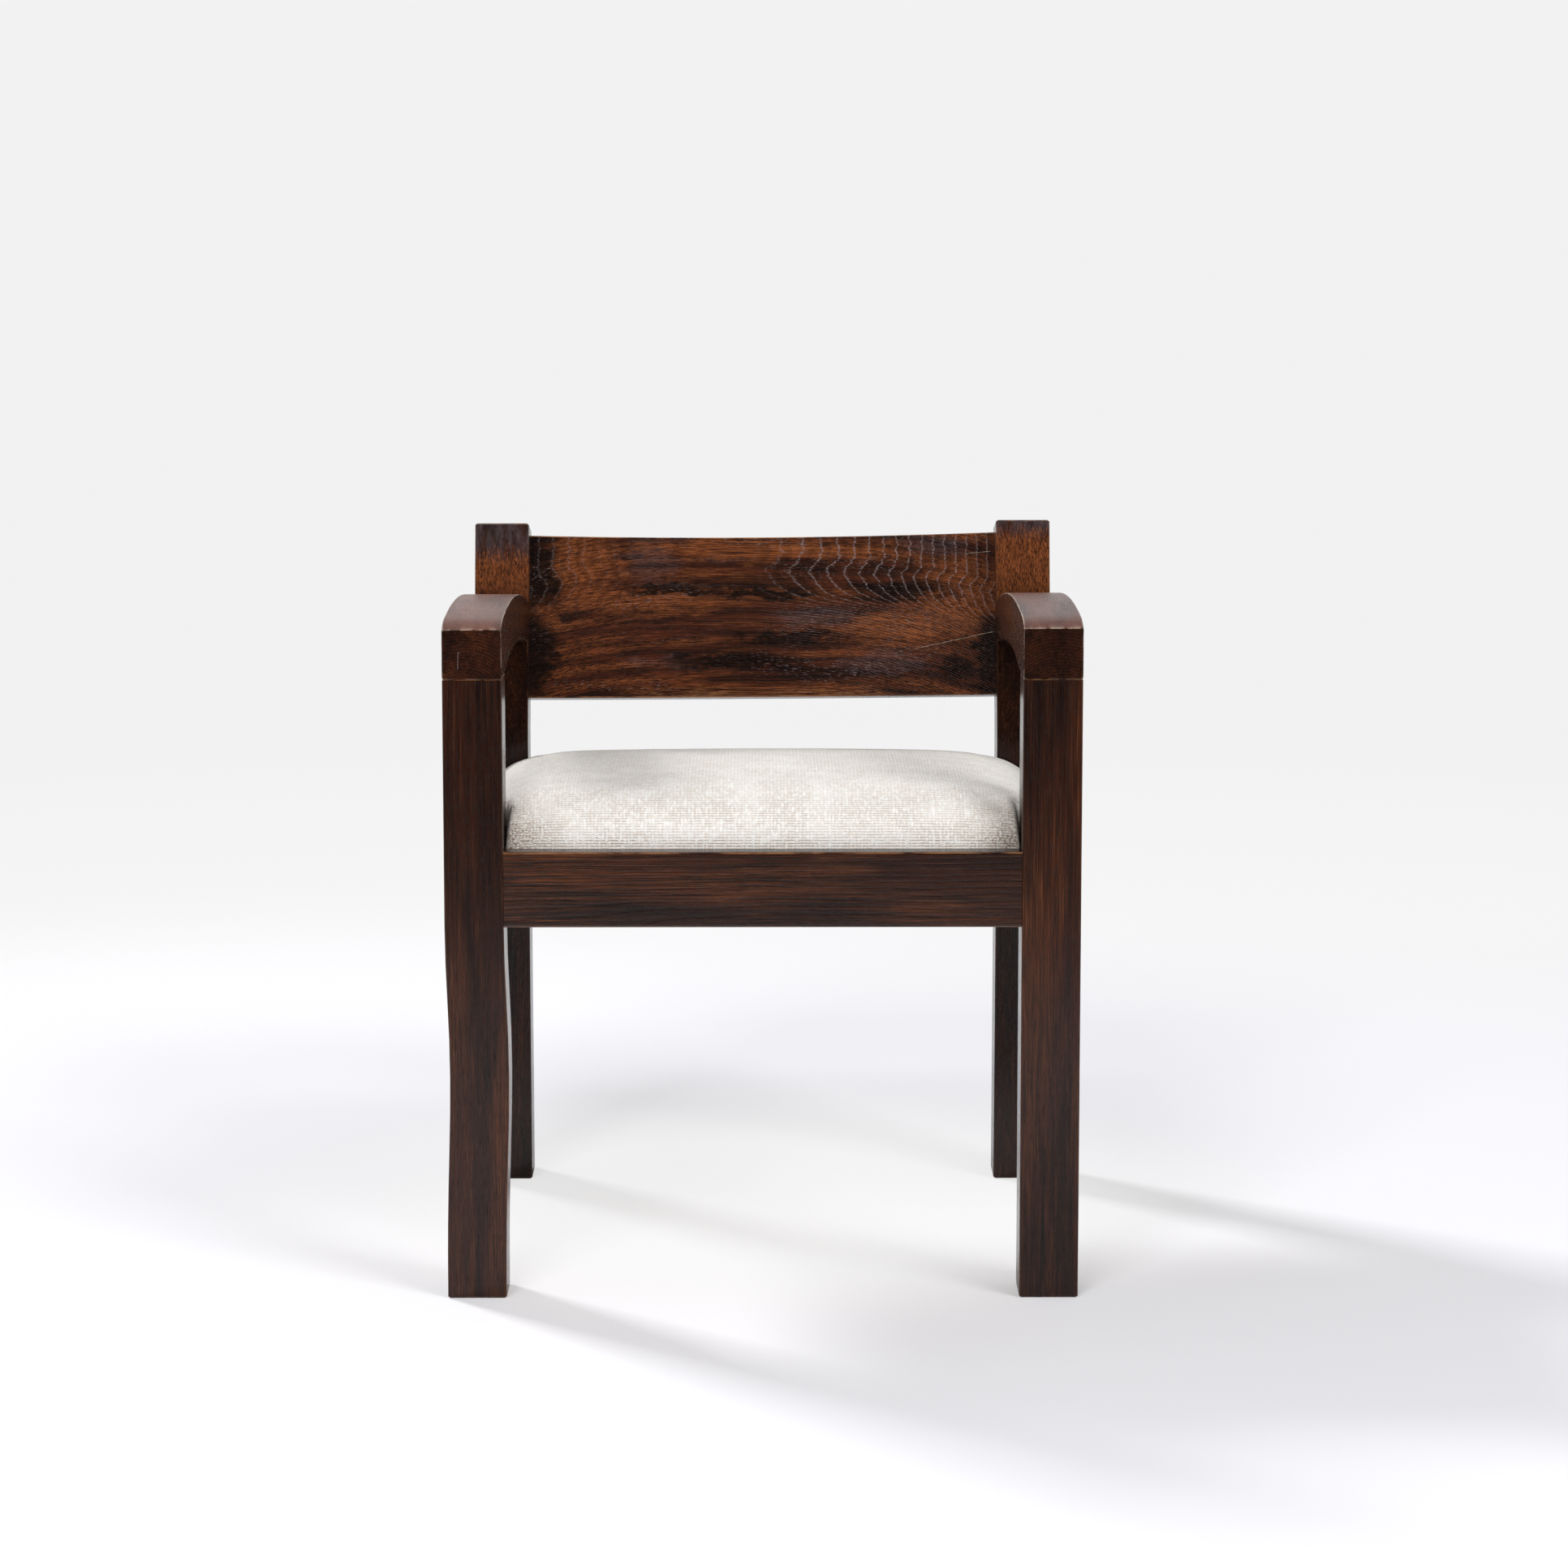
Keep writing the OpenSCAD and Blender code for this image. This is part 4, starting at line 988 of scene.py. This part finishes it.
def make_hessian():
    """Hessian stretched flat over the straps"""
    outline = seat_outline().inset(HESSIAN_INSET)
    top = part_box("seat_hessian")[1].z
    xs = np.linspace(-outline.half, outline.half, HESSIAN_LINES[0])
    ys = np.linspace(outline.front, outline.rear, HESSIAN_LINES[1])
    snap(xs, (-outline.notch_x, outline.notch_x))
    snap(ys, (outline.notch_front, outline.notch_rear))
    crossings, faces = outline_grid(outline, xs, ys)
    points = [(xs[i], ys[j], top) for i, j in crossings]
    sheet = new_piece("hessian_sheet", points, faces, sacking("hessian_weave"))
    thicken(sheet, "thickness", HESSIAN_THICKNESS)
    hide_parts("seat_hessian")
    outline.area()


# Staples that hold the hem: distance from the outline, spacing, length and width of their crowns, how far
# they stand out of the hem and sink into it, and the corners of a crown in order
STAPLE_INSET = 0.0185
STAPLE_PITCH = 0.028
STAPLE_LENGTH = 0.010
STAPLE_WIDTH = 0.0012
STAPLE_HEIGHT = 0.0006
STAPLE_SINK = 0.0004
CORNERS = ((-1, 1), (1, 1), (1, -1), (-1, -1))


def make_staples():
    """Staples along the hem, under the seat, with a small chamfer round their crowns"""
    outline = seat_outline().inset(STAPLE_INSET)
    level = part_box("seat_cover")[0].z

    def spread(start, end):
        start, end = start + STAPLE_LENGTH, end - STAPLE_LENGTH
        return np.linspace(start, end, round((end - start) / STAPLE_PITCH))

    places = [(x, y, True) for y in (outline.front, outline.rear)
              for x in spread(-outline.notch_x, outline.notch_x)]
    places += [(x, y, False) for x in (-outline.half, outline.half)
               for y in spread(outline.notch_front, outline.notch_rear)]
    points, faces = [], []
    for x, y, across in places:
        half_x, half_y = STAPLE_LENGTH / 2, STAPLE_WIDTH / 2
        if not across:
            half_x, half_y = half_y, half_x
        first = len(points)
        for z, share in ((STAPLE_SINK, 1), (-STAPLE_HEIGHT * 0.6, 1), (-STAPLE_HEIGHT, 0.9)):
            points += [(x + a * half_x * share, y + b * half_y * share, level + z) for a, b in CORNERS]
        for ring in (first, first + 4):
            faces += [(ring + k, ring + (k + 1) % 4, ring + 4 + (k + 1) % 4, ring + 4 + k) for k in range(4)]
        faces += [(first + 3, first + 2, first + 1, first), (first + 8, first + 9, first + 10, first + 11)]
    staples = new_piece("hem_staples", points, faces, steel("staple_steel"))
    staples.data.shade_flat()


# Webbing: size and number of its straps, the length over which a strap climbs or sinks beside a crossing,
# and the spacing of its points
STRAP_WIDTH = 0.050
STRAP_THICKNESS = 0.0016
STRAPS_LONG = 4
STRAPS_CROSS = 3
STRAP_SLOPE = 0.012
STRAP_STEP = 0.004


def strap_places(count, low, high):
    """Middles of the straps, spread evenly over an opening of the seat frame"""
    return [low + (high - low) * (n + 0.5) / count for n in range(count)]


def strap_rise(place, crossings, first):
    """How a strap goes smoothly over and under the crossing ones: 1 above, -1 below and 0 between them.
    first is 1 if it goes over the first one, and -1 if under."""
    rise = 0
    for n, crossing in enumerate(crossings):
        gone = (abs(place - crossing) - STRAP_WIDTH / 2) / STRAP_SLOPE
        share = 1 - min(1, max(0, gone))
        rise += first * (-1) ** n * share * share * (3 - 2 * share)
    return rise


def make_webbing():
    """Interlaced straps with rounded selvedges, each as wide as its CAD solid"""
    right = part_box("seat_frame_right")[0].x
    xs = strap_places(STRAPS_LONG, -right, right)
    ys = strap_places(STRAPS_CROSS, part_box("seat_frame_front")[1].y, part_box("seat_frame_rear")[0].y)
    points, faces = [], []
    half, thick = STRAP_WIDTH / 2, STRAP_THICKNESS / 2
    section = [(-half, 0), (thick - half, thick), (half - thick, thick),
               (half, 0), (half - thick, -thick), (thick - half, -thick)]
    for lengthways, node, middles, crossings in ((True, "seat_webbing_long", xs, ys),
                                                 (False, "seat_webbing_cross", ys, xs)):
        low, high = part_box(node)
        start, end = (low.y, high.y) if lengthways else (low.x, high.x)
        level, height = (low.z + high.z) / 2, (high.z - low.z - STRAP_THICKNESS) / 2
        count = round((end - start) / STRAP_STEP)
        for strap, middle in enumerate(middles):
            over_first = (1 if lengthways else -1) * (-1) ** strap
            ring = []
            for n in range(count + 1):
                place = start + (end - start) * n / count
                z = level + height * strap_rise(place, crossings, over_first)
                row = [(middle + side, place, z + up) if lengthways else (place, middle - side, z + up)
                       for side, up in section]
                ring = add_row(points, faces, ring, row)
                if n == 0:
                    faces.append(tuple(ring))
            faces.append(tuple(reversed(ring)))
    straps = new_piece("webbing_straps", points, faces, herringbone("jute_herringbone"))
    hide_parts("seat_webbing_long", "seat_webbing_cross")


# Floor: half its size, the middle of its lit part, and the distances from it between which its tone falls,
# near the chair and further off, and goes over into the backdrop
FLOOR_HALF = 40
FLOOR_MIDDLE = (0, -0.4, 0)
FLOOR_NEAR = (0.1, 2.2)
FLOOR_BACK = (1.4, 4.4)
FLOOR_FAR = (1.3, 2.6)
# Its tone near the chair and further off, and how much darker the backdrop is
FLOOR_TONES = (0.95, 0.93)
BACK_FALL = 0.045
# Share of each colour that the lit floor gives back, which makes its shadows a little cool
FLOOR_TINT = (0.985, 0.98, 1.02)
# How far its shadows are lifted for the camera, under the chair and round it, and where that changes
SHADOW_LIFT = (0.70, 0.04)
UNDER_CHAIR = (0, 0.10, 0)
UNDER_REACH = (0.25, 0.60)
# Level of the studio's dark side, which only reflections see, the depths on the floor between which it
# comes in, and the directions, from front to rear, between which it gives way to the bright side
STUDIO_DARK = 0.06
FLOOR_DARK = (-1.5, -2.8)
DARK_SIDE = (-0.35, 0.25)
BACKDROP = srgb(242, 242, 242)
# Share of the light on a level white floor that comes evenly from all round
WORLD_LIGHT = 0.40
# Lamps: name, compass angle from the chair's front towards +X, height above the floor in degrees,
# side, and share of that light
LAMPS = (
    ("key", 225, 36, 1.4, 0.35),
    ("fill_right", 43, 37, 2.6, 0.21),
    ("fill_left", -16, 36, 2.6, 0.21),
)
LAMP_DISTANCE = 8


def floor_material():
    """White floor that goes over into the backdrop: lit and shadowed near the chair, plain far from it.
    Reflections of it are dark beyond the near part of its front, where the studio is dark."""
    t = Material("floor")
    place = t.place()
    away = t.distance(place, FLOOR_MIDDLE)
    level = t.between(away, *FLOOR_NEAR, *FLOOR_TONES) - t.between(away, *FLOOR_BACK, 0, BACK_FALL)
    tone = t.join(level, level, level)
    lit = t.add("ShaderNodeBsdfDiffuse", {"Color": t.vector("MULTIPLY", tone, FLOOR_TINT)})
    plain = t.add("ShaderNodeEmission", {"Color": tone})
    dark = t.add("ShaderNodeEmission", {"Color": (STUDIO_DARK, STUDIO_DARK, STUDIO_DARK, 1)})
    seen = t.rays("Is Camera Ray", "Is Transmission Ray")
    lift = seen * t.between(t.distance(place, UNDER_CHAIR), *UNDER_REACH, *SHADOW_LIFT)
    lift = t.most(t.between(away, *FLOOR_FAR), lift)
    pale = t.add("ShaderNodeMixShader", {0: lift, 1: lit.outputs[0], 2: plain.outputs[0]})
    mirrored = t.rays("Is Glossy Ray") * t.between(t.split(place)[1], *FLOOR_DARK)
    whole = t.add("ShaderNodeMixShader", {0: mirrored, 1: pale.outputs[0], 2: dark.outputs[0]})
    t.put(t.nodes["Material Output"].inputs["Surface"], whole.outputs[0])
    return t.material


def make_floor():
    corners = [(x * FLOOR_HALF, y * FLOOR_HALF, 0) for x, y in reversed(CORNERS)]
    floor = show_mesh("floor", corners, [(0, 1, 2, 3)])
    floor.data.materials.append(floor_material())


def make_world():
    """Even light from all round. The camera sees the pale backdrop, and so do reflections,
    apart from those of the studio's dark front."""
    world = bpy.data.worlds.new("studio")
    bpy.context.scene.world = world
    world.use_nodes = True
    t = Tree(world.node_tree)
    toward = t.split(t.add("ShaderNodeTexCoord").outputs["Generated"])[1]
    mirrored = t.between(toward, *DARK_SIDE, STUDIO_DARK, 1.0)
    direct = t.between(t.rays("Is Camera Ray", "Is Transmission Ray"), 0.0, 1.0, WORLD_LIGHT, 1.0)
    background = t.nodes["Background"]
    t.put(background.inputs["Color"], BACKDROP)
    t.put(background.inputs["Strength"], t.between(t.rays("Is Glossy Ray"), 0.0, 1.0, direct, mirrored))


def make_lamps():
    """Square lamps round the chair. Only the key shows in reflections."""
    for name, angle, height, side, share in LAMPS:
        a, e = math.radians(angle), math.radians(height)
        back = Vector((math.sin(a) * math.cos(e), -math.cos(a) * math.cos(e), math.sin(e)))
        lamp = bpy.data.lights.new(name, "AREA")
        lamp.size = side
        lamp.energy = share * math.pi ** 2 * LAMP_DISTANCE ** 2 / math.sin(e)
        obj = show(name, lamp)
        obj.location = back * LAMP_DISTANCE
        obj.visible_glossy = name == "key"
        obj.rotation_mode = "QUATERNION"
        obj.rotation_quaternion = back.to_track_quat("Z", "Y")


def make_camera():
    data = bpy.data.cameras.new("camera")
    data.lens = CAMERA_LENS
    data.sensor_width = SENSOR_WIDTH
    camera = show("camera", data)
    camera.location = CAMERA_PLACE
    camera.rotation_euler = (math.radians(90 - CAMERA_PITCH), 0, -math.radians(CAMERA_YAW))
    bpy.context.scene.camera = camera


make_camera()
make_world()
make_floor()
make_lamps()
dress_frame()
make_cushion()
make_stuffing()
make_hessian()
make_webbing()
make_staples()
bpy.context.scene.view_settings.view_transform = "Standard"
